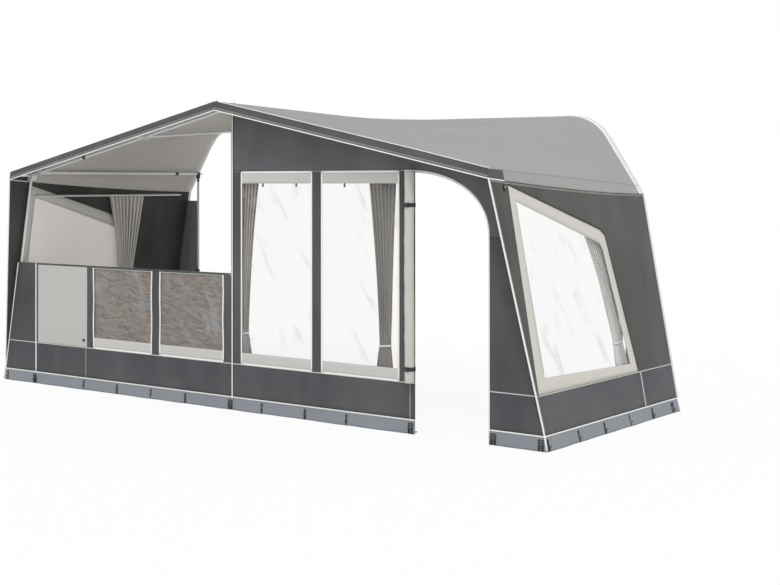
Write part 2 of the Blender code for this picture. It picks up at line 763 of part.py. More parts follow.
def make_keder():
    """White welt along the rear edge with the bead that slides into the rail."""
    bm = bmesh.new()
    line = roof_row(CLOTH_REAR_Y)
    under = roof_inner(line)
    inward = side_inward(RIGHT)
    line = line + [Vector((side_x(FLAP_HEIGHT), FLAP_HEIGHT))]
    under = under + [line[-1] + Vector((inward.x, inward.z)) * CLOTH]
    middle = [(a + b) / 2 for a, b in zip(line, under)]
    outward = [(a - b) / CLOTH for a, b in zip(line, under)]
    mouth = math.asin(CLOTH / 2 / BEAD_RADIUS)
    centre_y = REAR_Y - BEAD_RADIUS
    section = [(-CLOTH / 2, CLOTH_REAR_Y + GAP), (CLOTH / 2, CLOTH_REAR_Y + GAP)]
    for step in range(BEAD_SIDES + 1):
        angle = mouth + (2 * math.pi - 2 * mouth) * step / BEAD_SIDES
        section.append((BEAD_RADIUS * math.sin(angle), centre_y - BEAD_RADIUS * math.cos(angle)))
    rings = []
    for side in (LEFT, RIGHT):
        places = list(zip(middle, outward))
        for spot, out in (reversed(places[1:]) if side == LEFT else places):
            points = [(spot + out * along, y) for along, y in section]
            rings.append([bm.verts.new(Vector((side * p.x, y, p.y))) for p, y in points])
    add_skin(bm, rings)
    finish("keder", bm, "white_trim")


def leading_edge(height):
    """How far a side wall reaches in front of the front wall, as a place back from it."""
    return -CANOPY_OVERHANG * (height - FLAP_HEIGHT) / (FRONT_SEAM_HEIGHT - FLAP_HEIGHT)


def make_side_wall(side, name):
    """A side wall with its window opening, curtain track and tension buckle."""
    bm = bmesh.new()
    rear = CLOTH_REAR_Y - FRONT_Y
    nose = leading_edge(FRONT_SEAM_HEIGHT)
    outline = [(0, FLAP_HEIGHT), (rear, FLAP_HEIGHT)] + list(reversed(wall_rows(nose, rear)))
    corners = [on_side(side, back, height) for back, height in inset(outline)]
    opening = [on_side(side, back, height) for back, height in inset(SIDE_FRAME, -GAP)]
    add_pierced_plate(bm, corners, [opening], side_inward(side) * CLOTH)
    wall = finish(name, bm, "side_cloth")

    joined = bmesh.new()
    end = REAR_Y - SIDE_RAIL_BACK - FRONT_Y
    top = SIDE_RAIL_Z + CURTAIN_RAIL_THICKNESS
    for start, near, far in ((SIDE_RAIL_FRONT, CLOTH + GAP, CURTAIN_RAIL_DEPTH),
                             (SIDE_RAIL_SEWN, CLOTH / 2, 2 * CLOTH)):
        track = ((start, SIDE_RAIL_Z), (end, SIDE_RAIL_Z), (end, top), (start, top))
        corners = [on_side(side, back, z, near) for back, z in track]
        add_plate(joined, corners, side_inward(side) * (far - near))
    top = seam_height(FRONT_Y + BUCKLE_BACK) - BUCKLE_DROP
    corner = on_side(side, BUCKLE_BACK, top, CLOTH / 2)
    along = on_side(side, BUCKLE_BACK, top - BUCKLE_HEIGHT, CLOTH / 2) - corner
    axes = Matrix((BACK, along.normalized(), -side_inward(side))).transposed()
    place = Matrix.Translation(corner) @ axes.to_4x4()
    add_block(joined, place, (0, 0, 0), (BUCKLE_WIDTH, along.length, BUCKLE_THICKNESS), BUCKLE_BEVEL)
    weld(wall, joined)


def make_side_windows():
    """A pale border with clear film in each side wall."""
    for side, name in ((LEFT, "side_window_left"), (RIGHT, "side_window_right")):
        bm = bmesh.new()

        def spot(back, height, depth, side=side):
            return on_side(side, back, height, depth)
        add_window(bm, SIDE_FRAME, SIDE_PANE, spot)
        finish(name, bm, "pale_border")


def make_front_wall():
    """The two zipped panels, the panel beside the door, and the header over them."""
    bm = bmesh.new()
    outline = ((-inside_x(FLAP_HEIGHT), FLAP_HEIGHT), (0, FLAP_HEIGHT), (0, VERANDA_RAIL_Z),
               (-FOLD_END, VERANDA_RAIL_Z), (-FOLD_END, WAIST_HEIGHT), (-inside_x(WAIST_HEIGHT), WAIST_HEIGHT))
    holes = [inset(window_outline(-far, -near, VERANDA_WINDOW_TOP), -GAP) for near, far in WINDOWS]
    front_piece(bm, inset(outline), holes)
    finish("front_panel_left", bm, "dark_cloth")

    bm = bmesh.new()
    outline = ((0, FLAP_HEIGHT), (DOOR_EDGE, FLAP_HEIGHT), (DOOR_EDGE, arch_height(DOOR_EDGE)),
               (ARCH_START, WINDOW_TOP + WINDOW_HEM), (0, WINDOW_TOP + WINDOW_HEM))
    holes = [inset(window_outline(near, far, WINDOW_TOP), -GAP) for near, far in WINDOWS]
    front_piece(bm, inset(outline), holes)
    finish("front_panel_right", bm, "dark_cloth")

    bm = bmesh.new()
    front_piece(bm, inset(((DOOR_JAMB, FLAP_HEIGHT), (inside_x(FLAP_HEIGHT), FLAP_HEIGHT),
                           (inside_x(ARCH_SPRING), ARCH_SPRING), (DOOR_JAMB, ARCH_SPRING))))
    finish("front_panel_corner", bm, "dark_cloth")


def make_front_header():
    """Dark panel over windows and door, with the curtain track behind it."""
    bm = bmesh.new()
    high, low = roof_inner(roof_row(FRONT_Y + CLOTH))[-2:]
    clear = Vector((-HEADER_CLEARANCE, -HEADER_CLEARANCE))
    foot = WINDOW_TOP + WINDOW_HEM
    outline = [(0, foot), (ARCH_START, foot)] + arch_points()[1:]
    outline += [(inside_x(ARCH_SPRING), ARCH_SPRING), low + clear, high + clear]
    outline += list(reversed(under_line(0, DOOR_JAMB)))
    front_piece(bm, inset(outline))
    header = finish("front_header", bm, "dark_cloth")
    track = bmesh.new()
    low = (CURTAIN_RAIL_END, FRONT_Y + CLOTH / 2, foot + CURTAIN_RAIL_LIFT)
    high = (DOOR_LEG_X - CURTAIN_RAIL_END / 2, FRONT_Y + CURTAIN_RAIL_DEPTH, low[2] + CURTAIN_RAIL_THICKNESS)
    add_block(track, Matrix.Identity(4), low, high)
    weld(header, track)
    holes = bmesh.new()
    for x in ARM_PLACES:
        start = Vector((x, FRONT_Y - CUT_OVERRUN, gable_z(x)))
        add_rod(holes, start, start + BACK * (2 * CUT_OVERRUN), TUBE_RADIUS + ARM_CLEARANCE)
    cut(header, holes, crossing=False)


def make_front_windows():
    """Pale strips and clear film of the front windows, on both sides of the centre zip."""
    for number, (near, far) in enumerate(WINDOWS, 1):
        for name, low, high, top, strip in (
            (f"front_window_{number}", near, far, WINDOW_TOP, STRIP_HEIGHT),
            (f"veranda_window_{number}", -far, -near, VERANDA_WINDOW_TOP, WINDOW_HEM),
        ):
            bm = bmesh.new()
            pane = box_outline(low + WINDOW_HEM, high - WINDOW_HEM, SILL_HEIGHT + STRIP_HEIGHT, top - strip)
            add_window(bm, window_outline(low, high, top), pane, on_front)
            finish(name, bm, "pale_border")


def make_veranda():
    """Left half zipped open at the waist: blind, fold over the rail, and the rail."""
    bm = bmesh.new()
    top = VERANDA_RAIL_Z - TUBE_RADIUS - GAP
    front_piece(bm, box_outline(-WINDOWS[1][1], -WINDOWS[0][0], SILL_HEIGHT, top), (), CLOTH, CLOTH + GAP)
    finish("veranda_blind", bm, "taupe_cloth")

    bm = bmesh.new()
    foot = VERANDA_RAIL_Z - (WINDOW_TOP - WAIST_HEIGHT)
    outline = []
    for radius, order in ((RAIL_FOLD_RADIUS, 1), (RAIL_FOLD_RADIUS - CLOTH, -1)):
        arc = [math.pi * step / FOLD_STEPS for step in range(FOLD_STEPS + 1)]
        bend = [(VERANDA_RAIL_Y - radius * math.cos(a), VERANDA_RAIL_Z + radius * math.sin(a)) for a in arc]
        run = bend + [(VERANDA_RAIL_Y + radius, foot)]
        outline += run[::order]
    corners = [Vector((-FOLD_END + GAP, y, z)) for y, z in outline]
    add_plate(bm, corners, ACROSS * (FOLD_END - GAP - FOLD_START))
    finish("veranda_fold", bm, "dark_cloth", smooth=True)

    bm = bmesh.new()
    height = VERANDA_RAIL_Z
    corner = corner_leg(LEFT, height)
    start = Vector((corner.x + (TUBE_RADIUS + GAP) / math.cos(LEAN_ANGLE) + RAIL_TILT, VERANDA_RAIL_Y, height))
    add_tube(bm, start, Vector((-TUBE_RADIUS - GAP, VERANDA_RAIL_Y, height)), TUBE_RADIUS, TUBE_BORE)
    finish("veranda_rail", bm, "steel_tube", smooth=True)


def make_door():
    """The door panel, rolled up against its hinged edge and held by two straps."""
    bm = bmesh.new()
    pitch = (ROLL_RADIUS - ROLL_CORE) / ROLL_TURNS
    thick = pitch - ROLL_AIR
    steps = ROLL_TURNS * ROLL_STEPS
    outline = []
    for shift, order in ((0, 1), (thick, -1)):
        spiral = []
        for step in range(steps + 1):
            angle = 2 * math.pi * step / ROLL_STEPS
            radius = ROLL_CORE + (ROLL_RADIUS - ROLL_CORE) * step / steps - shift
            spiral.append((radius * math.cos(angle), radius * math.sin(angle)))
        outline += spiral[::order]
    foot = SILL_HEIGHT + GAP
    corners = [Vector((ROLL_X + x, ROLL_Y + y, foot)) for x, y in outline]
    add_plate(bm, corners, UP * (WINDOW_TOP - foot))
    finish("door_roll", bm, "pale_border", smooth=True)

    half = STRAP_WIDTH / 2
    for name, height in zip(("door_strap_lower", "door_strap_upper"), STRAP_HEIGHTS):
        bm = bmesh.new()
        place = Matrix.Translation((ROLL_X, ROLL_Y, height))
        profile = ((STRAP_BORE, -half), (STRAP_BORE, half), (STRAP_OUTER, half), (STRAP_OUTER, -half))
        add_turned(bm, place, profile, STRAP_SIDES)
        finish(name, bm, "black_plastic", smooth=True)


def add_ladder(bm, spot):
    """One rubber peg ladder; spot gives a point from across, height and depth."""
    half = LADDER_WIDTH / 2
    foot = LADDER_TOP - LADDER_LENGTH
    hole = LADDER_HOLE
    mid = foot + LADDER_HOLE_PLACE
    ring = ((-half, foot), (half, foot), (half, LADDER_TOP), (-half, LADDER_TOP))
    slot = ((-hole, mid - hole), (hole, mid - hole), (hole, mid + hole), (-hole, mid + hole))
    corners, slots = ([spot(u, z, -LADDER_THICKNESS) for u, z in outline] for outline in (ring, slot))
    add_pierced_plate(bm, corners, [slots], spot(0, foot, CLOTH / 2) - spot(0, foot, -LADDER_THICKNESS))


def make_mud_flap(side, name, end, places):
    """PVC flap round one corner, its peg ladders, and the panel beside the caravan."""
    bm = bmesh.new()
    rear = CLOTH_REAR_Y
    thick = CLOTH / math.cos(LEAN_ANGLE)
    grids = []
    for move, y in ((0, FRONT_Y), (thick, FRONT_Y + CLOTH)):
        rows = []
        for z in (0, FLAP_TOP):
            x = side * (side_x(z) - move)
            rows.append([Vector((x, rear, z)), Vector((x, y, z)), Vector((end, y, z))])
        grids.append(rows)
    add_sheet(bm, *grids)
    flap = finish(name, bm, "flap_pvc")

    joined = bmesh.new()
    y = REAR_Y - DRAUGHT_BACK
    near = EAVE_POLE_X + DRAUGHT_EDGE
    outline = ((near, 0), (side_x(0) - thick / 2, 0), (side_x(FLAP_TOP) - thick / 2, FLAP_TOP),
               (inside_x(FLAP_TOP), FLAP_TOP), (inside_x(DRAUGHT_TOP), DRAUGHT_TOP), (near, DRAUGHT_TOP))
    add_plate(joined, [Vector((side * x, y, z)) for x, z in outline], BACK * CLOTH)
    for place in places:
        add_ladder(joined, lambda u, z, depth, x=place: on_front(x + u, z, depth))
    for back in spread(SIDE_LADDER_INSET, rear - FRONT_Y - SIDE_LADDER_INSET, SIDE_LADDERS):
        add_ladder(joined, lambda u, z, depth, back=back: on_side(side, back + u, z, depth))
    weld(flap, joined)


def hub_shape(x, reach_out, drop=None):
    """Side view of a joint block on the gable, with a stub along drop for a leg."""
    lift = SLEEVE_RADIUS / math.cos(GABLE_SLOPE)
    inner = x - HUB_REACH
    outer = x + reach_out
    shape = [(outer, gable_z(outer) + lift), (inner, gable_z(inner) + lift), (inner, gable_z(inner) - lift)]
    if drop is None:
        return shape + [(outer, gable_z(outer) - lift)]
    side_step = Vector((-drop.y, drop.x)) * SLEEVE_RADIUS
    foot = Vector((x, gable_z(x))) + drop * HUB_STUB
    near = foot - side_step
    far = foot + side_step
    rise = (HUB_STUB - STUB_FREE) * drop
    return shape + [near - rise, near, far, far - rise, (outer, gable_z(outer) - lift)]


def add_hub(bm, side, shape):
    """A joint block from its side view."""
    corners = [Vector((side * x, FRAME_Y - HUB_FRONT, z)) for x, z in shape]
    add_plate(bm, corners, BACK * (HUB_FRONT + HUB_BACK))


def add_arm(bm, x):
    """A short tube that pushes the canopy forward from the gable."""
    start = Vector((x, ROOF_FRONT, gable_z(x)))
    add_tube(bm, start, Vector((x, FRAME_Y - HUB_FRONT + CLOTH, gable_z(x))), TUBE_RADIUS, TUBE_BORE)


def add_spikes(bm, x):
    """Two spikes that come up through the roof's eyelets."""
    for spot in SPIKES:
        if abs(spot.x - x) < TUBE_RADIUS:
            low = Vector((spot.x, spot.y, gable_z(x) + TUBE_BORE))
            add_rod(bm, low, spot + UP * SPIKE_HEIGHT, SPIKE_RADIUS, SPIKE_SIDES, SPIKE_TIP_RADIUS)


def cut_socket(bm, start, end, radius=None):
    """A blind hole that a tube seats in."""
    add_rod(bm, start, end, TUBE_RADIUS + GAP if radius is None else radius)


def make_gable_pole(side, name):
    """Half of the gable: pole, joint blocks, sleeve, canopy arms and spikes."""
    start_x = GABLE_START * math.cos(GABLE_SLOPE)
    end_x = CORNER_HUB.x + GABLE_END_REACH
    bm = bmesh.new()
    ends = [Vector((side * x, FRAME_Y, gable_z(x))) for x in (start_x, end_x)]
    add_rod(bm, *ends, TUBE_RADIUS)
    pole = finish(name, bm, "steel_tube", smooth=True)

    joined = bmesh.new()
    half = GABLE_CLAMP_LENGTH / 2
    spots = [Vector((side * x, FRAME_Y, gable_z(x))) for x in (GABLE_CLAMP_X - half, GABLE_CLAMP_X + half)]
    add_rod(joined, *spots, SLEEVE_RADIUS)
    for x in (MID_POLE_X, EAVE_POLE_X):
        add_hub(joined, side, hub_shape(x, HUB_REACH))
    lean = Vector((SIDE_LEAN_SHARE, -1)).normalized()
    add_hub(joined, side, hub_shape(CORNER_HUB.x, CORNER_REACH, lean))
    if side == RIGHT:
        add_hub(joined, side, hub_shape(DOOR_LEG_X, HUB_REACH, Vector((0, -1))))
    for x in (MID_POLE_X, CORNER_HUB.x):
        add_arm(joined, side * x)
    add_spikes(joined, side * CORNER_HUB.x)
    weld(pole, joined)

    bores = bmesh.new()
    before = Vector((side * (start_x - CUT_OVERRUN), FRAME_Y, gable_z(start_x - CUT_OVERRUN)))
    add_rod(bores, before, ends[1] - (ends[1] - ends[0]).normalized() * GABLE_END_REACH, TUBE_BORE)
    cut_socket(bores, corner_leg(side, CORNER_LEG_TOP + GAP), corner_leg(side, CORNER_LEG_TOP - HUB_STUB))
    for x in (MID_POLE_X, EAVE_POLE_X):
        cut_pole_socket(bores, side * x)
    if side == RIGHT:
        head = Vector((DOOR_LEG_X, FRAME_Y, DOOR_LEG_TOP + GAP))
        cut_socket(bores, head, head - UP * (HUB_STUB + CUT_OVERRUN))
    cut(pole, bores)


def cut_pole_socket(bm, x):
    """The socket of a roof pole's front end."""
    start_y = POLE_START_Y - GAP
    cut_socket(bm, pole_point(x, start_y), pole_point(x, FRAME_Y + HUB_BACK + CUT_OVERRUN))


def make_peak_connector():
    """The block at the gable's peak, with its canopy arm and spikes."""
    lift = SLEEVE_RADIUS / math.cos(GABLE_SLOPE)
    reach = HUB_REACH
    half = SLEEVE_RADIUS
    right = [(reach, gable_z(reach) + lift), (reach, gable_z(reach) - lift), (half, gable_z(half) - lift),
             (half, GABLE_TOP - HUB_STUB)]
    shape = [(0, GABLE_TOP + lift)] + right + [(-x, z) for x, z in reversed(right)]
    bm = bmesh.new()
    add_hub(bm, RIGHT, shape)
    peak = finish("peak_connector", bm, "black_plastic")
    joined = bmesh.new()
    add_arm(joined, 0)
    add_spikes(joined, 0)
    weld(peak, joined)
    bores = bmesh.new()
    start_x = (GABLE_START - GAP) * math.cos(GABLE_SLOPE)
    end_x = reach + CUT_OVERRUN
    for side in (LEFT, RIGHT):
        cut_socket(bores, *(Vector((side * x, FRAME_Y, gable_z(x))) for x in (start_x, end_x)))
    head = Vector((0, FRAME_Y, CENTRE_LEG_TOP + GAP))
    cut_socket(bores, head, head - UP * (HUB_STUB + CUT_OVERRUN))
    cut_pole_socket(bores, 0)
    cut(peak, bores)


def collar_profile(length):
    """Outer tube of a telescopic pair with the collar that grips the inner tube."""
    half = CLAMP_HALF_LENGTH
    tight = INNER_RADIUS + SLIDE_GAP
    return ((CLAMP_RADIUS, -half), (CLAMP_RADIUS, half), (TUBE_RADIUS, half), (TUBE_RADIUS, length),
            (TUBE_BORE, length), (TUBE_BORE, 0), (tight, 0), (tight, -half))


def leg_place(name):
    """Axes of a leg's clamp: Z up the leg, X into the room, where its lever opens."""
    facing = -BACK if "rear" in name else BACK
    return aim(leg(name, LEG_CLAMP_HEIGHT), leg(name, LEG_TOPS[name]), facing)


def make_leg_upper(name):
    """Fixed upper tube of a leg, with its clamp collar, ears and lever pin."""
    place = leg_place(name)
    length = (leg(name, LEG_TOPS[name]) - leg(name, LEG_CLAMP_HEIGHT)).length
    bm = bmesh.new()
    add_turned(bm, place, collar_profile(length), TUBE_SIDES)
    upper = finish(f"leg_upper_{name}", bm, "steel_tube", smooth=True)
    joined = bmesh.new()
    for side in (LEFT, RIGHT):
        near, far = sorted((side * EAR_INNER, side * EAR_OUTER))
        add_block(joined, place, (EAR_START, near, -EAR_HALF_HEIGHT), (EAR_REACH, far, EAR_HALF_HEIGHT))
    reach = (EAR_INNER + EAR_OUTER) / 2
    pin = [place @ Vector((PIN_REACH, side * reach, 0)) for side in (LEFT, RIGHT)]
    add_rod(joined, *pin, PIN_RADIUS, PIN_SIDES)
    if "rear" in name:
        hub = leg(name, EAVE_Z)
        low = Vector((-SLEEVE_RADIUS, -SLEEVE_RADIUS, -HUB_STUB))
        high = Vector((SLEEVE_RADIUS, SLEEVE_RADIUS, SLEEVE_RADIUS))
        add_block(joined, Matrix.Translation(hub), low, high, HUB_BEVEL)
        bores = bmesh.new()
        reach = BACK * (SLEEVE_RADIUS + CUT_OVERRUN)
        add_rod(bores, hub - reach, hub + reach, INNER_RADIUS + SLIDE_GAP)
    weld(upper, joined)
    if "rear" in name:
        cut(upper, bores)


def make_lever(name):
    """The lever of a leg clamp, closed along its tube, with its origin on the pin."""
    bm = bmesh.new()
    bore = (PIN_RADIUS + LEVER_CLEARANCE) / math.cos(math.pi / LEVER_SIDES)
    head = bore + LEVER_WALL
    start = math.acos(LEVER_TIP / head)
    turn = math.pi + 2 * start
    arc = [start - turn * step / LEVER_SIDES for step in range(LEVER_SIDES + 1)]
    thick = 2 * (EAR_INNER - LEVER_CLEARANCE)
    outline = [(head * math.cos(a), head * math.sin(a)) for a in arc]
    outline += [(-LEVER_TIP, LEVER_LENGTH), (LEVER_TIP, LEVER_LENGTH)]
    angles = [2 * math.pi * step / LEVER_SIDES for step in range(LEVER_SIDES)]
    hole = [Vector((bore * math.cos(a), -thick / 2, bore * math.sin(a))) for a in angles]
    corners = [Vector((x, -thick / 2, z)) for x, z in outline]
    add_pierced_plate(bm, corners, [hole], BACK * thick)
    lever = finish(f"clamp_lever_{name}", bm, "black_plastic", smooth=True)
    lever.matrix_world = leg_place(name) @ Matrix.Translation((PIN_REACH, 0, 0))


def make_leg_lower(name):
    """Sliding lower tube of a leg, standing on its foot plate."""
    bm = bmesh.new()
    x0, x1, y0, y1 = FOOT_SPANS[name]
    base = leg(name, 0)
    corners = [base + Vector((x, y, 0)) for x, y in ((x0, y0), (x1, y0), (x1, y1), (x0, y1))]
    spot = base + Vector(((x0 + x1) * PEG_HOLE_SHARE, (y0 + y1) * PEG_HOLE_SHARE, 0))
    angles = [2 * math.pi * step / HOLE_SIDES for step in range(HOLE_SIDES)]
    hole = [spot + Vector((math.cos(a), math.sin(a), 0)) * PEG_HOLE_RADIUS for a in angles]
    add_pierced_plate(bm, corners, [hole], UP * FOOT_THICKNESS)
    lower = finish(f"leg_lower_{name}", bm, "steel_tube", smooth=True)
    tube = bmesh.new()
    high = leg(name, LEG_CLAMP_HEIGHT + LEG_OVERLAP)
    add_tube(tube, high, leg(name, FOOT_THICKNESS / 2), INNER_RADIUS, INNER_BORE)
    weld(lower, tube)


def make_roof_pole(name, x):
    """A telescopic roof pole: front tube with its collar, and the sliding rear tube."""
    clamp = pole_point(x, REAR_Y - POLE_CLAMP_BACK)
    front = pole_point(x, POLE_START_Y)
    bm = bmesh.new()
    add_turned(bm, aim(clamp, front), collar_profile((front - clamp).length), TUBE_SIDES)
    finish(f"roof_pole_front_{name}", bm, "steel_tube", smooth=True)
    bm = bmesh.new()
    inner_end = pole_point(x, REAR_Y - POLE_CLAMP_BACK - POLE_OVERLAP)
    end = pole_point(x, REAR_Y - POLE_END_BACK)
    length = (end - inner_end).length
    plug = length - POLE_PIN_LENGTH
    tip = length + POLE_PIN_LENGTH
    profile = ((INNER_RADIUS, 0), (INNER_RADIUS, length), (POLE_PIN_RADIUS, length), (POLE_PIN_RADIUS, tip),
               (SPIKE_TIP_RADIUS, tip), (SPIKE_TIP_RADIUS, plug), (INNER_BORE, plug), (INNER_BORE, 0))
    add_turned(bm, aim(inner_end, end), profile, TUBE_SIDES)
    finish(f"roof_pole_rear_{name}", bm, "steel_tube", smooth=True)


def curtain_edges(height, top, spans):
    """Both edges of a gathered curtain at a height: wide at the rail, drawn in at the tie."""
    high, tie, foot = spans
    if height >= TIE_HEIGHT + TIE_BAND:
        share = (top - height) / (top - TIE_HEIGHT - TIE_BAND)
        ease = (1 - math.cos(math.pi * share)) / 2
        return [a + (b - a) * ease for a, b in zip(high, tie)]
    share = max(TIE_HEIGHT - TIE_BAND - height, 0) / (TIE_HEIGHT - TIE_BAND - CURTAIN_BOTTOM)
    return [a + (b - a) * share for a, b in zip(tie, foot)]


def make_curtain(name, top, spans, spot):
    """A gathered curtain with its folds, and the band that ties it."""
    bm = bmesh.new()
    drop = top - TIE_HEIGHT - TIE_BAND
    heights = [top - drop * step / CURTAIN_ROWS for step in range(CURTAIN_ROWS + 1)]
    heights += [TIE_HEIGHT - TIE_BAND, CURTAIN_BOTTOM]
    count = CURTAIN_FOLDS * CURTAIN_STEPS
    faces = []
    for shift in (0, CURTAIN_CLOTH):
        grid = []
        for height in heights:
            near, far = curtain_edges(height, top, spans)
            row = []
            for step in range(count + 1):
                wave = CURTAIN_FOLD * math.cos(2 * math.pi * step / CURTAIN_STEPS)
                row.append(spot(near + (far - near) * step / count, height, CURTAIN_DEPTH + wave + shift))
            grid.append(row)
        faces.append(grid)
    add_sheet(bm, *faces)
    curtain = finish(name, bm, "curtain_cloth", smooth=True)

    band = bmesh.new()
    near, far = sorted(spans[1])
    low = TIE_HEIGHT - TIE_BAND / 2
    depths = (CURTAIN_DEPTH - CURTAIN_FOLD, CURTAIN_DEPTH + CURTAIN_FOLD + CURTAIN_CLOTH)
    rings = []
    for grow in (TIE_THICKNESS, -TIE_BITE):
        places = ((near - grow, depths[0] - grow), (far + grow, depths[0] - grow),
                  (far + grow, depths[1] + grow), (near - grow, depths[1] + grow))
        rings.append([spot(place, low, depth) for place, depth in places])
    rise = spot(near, low + TIE_BAND, depths[0]) - spot(near, low, depths[0])
    add_pierced_plate(band, rings[0], [rings[1]], rise)
    weld(curtain, band)


def make_curtains():
    """Four tied curtains: two at the front windows and one in each side window."""
    top = WINDOW_TOP + WINDOW_HEM + CURTAIN_RAIL_LIFT - GAP
    make_curtain("curtain_centre", top, FRONT_CURTAIN, on_front)
    make_curtain("curtain_door", top, DOOR_CURTAIN, on_front)
    for side, name in ((LEFT, "curtain_left"), (RIGHT, "curtain_right")):
        def spot(place, height, depth, side=side):
            return on_side(side, place, height, depth)
        make_curtain(name, SIDE_RAIL_Z - GAP, SIDE_CURTAIN, spot)


def make_zip_slider(name, x, z):
    """A zip slider with its pull tab."""
    bm = bmesh.new()
    place = Matrix.Translation((x, FRONT_Y - GAP, z))
    half = ZIP_WIDTH / 2
    add_block(bm, place, (-half, -ZIP_THICKNESS, 0), (half, 0, ZIP_LENGTH))
    slider = finish(name, bm, "steel_tube")
    tab = bmesh.new()
    wide = ZIP_TAB_WIDTH / 2
    front = -ZIP_TAB_THICKNESS - GAP
    add_block(tab, place, (-wide, front, -ZIP_TAB_LENGTH), (wide, -GAP, ZIP_TAB_THICKNESS))
    weld(slider, tab)


def make_all():
    """Clear the scene and build every piece."""
    for old in list(bpy.data.objects):
        bpy.data.objects.remove(old)
    make_roof()
    make_canopy_fascia()
    make_keder()
    make_side_wall(LEFT, "side_wall_left")
    make_side_wall(RIGHT, "side_wall_right")
    make_side_windows()
    make_front_wall()
    make_front_header()
    make_front_windows()
    make_veranda()
    make_door()
    make_mud_flap(LEFT, "mud_flap_left", DOOR_EDGE, FLAP_LADDERS)
    make_mud_flap(RIGHT, "mud_flap_right", DOOR_JAMB, CORNER_LADDERS)
    make_gable_pole(LEFT, "gable_pole_left")
    make_gable_pole(RIGHT, "gable_pole_right")
    make_peak_connector()
    for name in LEGS:
        make_leg_upper(name)
        make_leg_lower(name)
        make_lever(name)
    for name, x in POLES.items():
        make_roof_pole(name, x)
    make_curtains()
    make_zip_slider("zip_slider_centre", 0, CENTRE_ZIP_HEIGHT)
    make_zip_slider("zip_slider_door", DOOR_JAMB, DOOR_ZIP_HEIGHT)


make_all()
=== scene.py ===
"""Dressing of a caravan awning: cloth, film, piping, curtains, hem bands and finishes.

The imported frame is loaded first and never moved. X runs to the right as seen from
outside the front, Y from the canopy to the rear rail, Z up, in metres.
"""
import json
import math

import bpy
import numpy as np
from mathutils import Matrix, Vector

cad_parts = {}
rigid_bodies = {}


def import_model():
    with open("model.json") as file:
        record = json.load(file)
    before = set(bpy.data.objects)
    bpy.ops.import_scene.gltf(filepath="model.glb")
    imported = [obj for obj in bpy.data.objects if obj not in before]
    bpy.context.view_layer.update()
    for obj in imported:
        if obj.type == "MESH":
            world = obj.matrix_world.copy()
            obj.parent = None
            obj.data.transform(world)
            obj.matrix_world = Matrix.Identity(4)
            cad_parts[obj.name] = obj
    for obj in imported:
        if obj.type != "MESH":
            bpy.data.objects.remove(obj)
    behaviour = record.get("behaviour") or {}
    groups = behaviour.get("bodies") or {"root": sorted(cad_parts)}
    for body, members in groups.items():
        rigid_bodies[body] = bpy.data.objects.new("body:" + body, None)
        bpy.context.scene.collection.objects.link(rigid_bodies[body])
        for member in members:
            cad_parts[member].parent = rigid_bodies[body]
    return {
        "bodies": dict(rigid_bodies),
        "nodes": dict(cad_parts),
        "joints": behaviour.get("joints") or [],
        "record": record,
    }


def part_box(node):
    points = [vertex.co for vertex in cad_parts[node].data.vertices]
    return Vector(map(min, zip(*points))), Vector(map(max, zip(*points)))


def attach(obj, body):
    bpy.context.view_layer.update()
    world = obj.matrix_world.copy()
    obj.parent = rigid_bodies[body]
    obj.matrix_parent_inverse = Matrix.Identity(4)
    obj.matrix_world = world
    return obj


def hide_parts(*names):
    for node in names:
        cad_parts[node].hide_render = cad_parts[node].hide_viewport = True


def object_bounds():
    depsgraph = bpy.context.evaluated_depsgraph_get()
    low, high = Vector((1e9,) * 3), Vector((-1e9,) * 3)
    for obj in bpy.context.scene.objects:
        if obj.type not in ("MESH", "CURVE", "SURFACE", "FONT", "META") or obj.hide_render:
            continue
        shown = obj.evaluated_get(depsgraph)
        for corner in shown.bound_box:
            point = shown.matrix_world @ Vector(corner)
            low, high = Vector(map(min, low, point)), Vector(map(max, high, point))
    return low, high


bl_info = {
    "name": "Caravan Awning",
    "version": (1, 0, 0),
    "blender": (4, 5, 0),
    "location": "View3D > Sidebar > Awning",
    "description": "Dresses the solid model of a porch awning with cloth, film and trim",
    "category": "Object",
}

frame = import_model()
CAD_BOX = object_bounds()

# Driving sizes of the awning, as in the solid model
FRONT_Y = -0.990
CANOPY_Y = CAD_BOX[0][1]
REAR_Y = CAD_BOX[1][1]
DEPTH = REAR_Y - CANOPY_Y
HALF_WIDTH = 3.008
LEAN = 0.1838
PEAK = 2.555
EAVE = 1.990
FASCIA = 0.070
RAIL = 2.480
RAIL_FLAT = 2.020
RAIL_RADIUS = 0.414
RAIL_ANGLE = math.radians(60)
REAR_SEAM = 1.797
SEAM_CURVE = 1.6
STEEP_SHARE = 0.86
CLOTH_REAR_Y = REAR_Y - 0.0298
FLAP = 0.110
SILL = 0.392
STRIP = 0.092
WAIST = 1.135
WINDOW_TOP = 1.975
WINDOW_EDGES = (0.105, 0.860, 0.965, 1.720)
DOOR_EDGE = 1.872
DOOR_JAMB = 2.528
ARCH_START = 1.780
ARCH_SPRING = 1.500
ARCH_POWER = 2.2
RAIL_Z = 1.1192
FOLD_END = 2.676
SIDE_FRAME = ((0.010, 0.392), (1.556, 0.392), (1.366, 1.470), (1.303, 1.515), (0.037, 1.868))
SIDE_PANE = ((0.128, 0.500), (1.444, 0.462), (1.298, 1.360), (1.262, 1.412), (0.114, 1.752))
CLOTH = 0.003
LEFT = -1
RIGHT = 1
GREY = (0.5, 0.5, 0.5, 1)

# Gap between neighbouring cloths, length of a side wall, places of seams and fittings, straight axes
HAIR = 0.0003
WALL_LENGTH = CLOTH_REAR_Y - FRONT_Y
CANOPY_SEAM_Y = -1.168
BEAD_SEAM_Y = 1.112
SIDE_SEAM = 1.59
BAY_EDGE = 2.53
CORNER_X = 3.0
PLUG_X = -1.851
STRAIGHT = ((1, 0, 0), (0, 1, 0), (0, 0, 1))


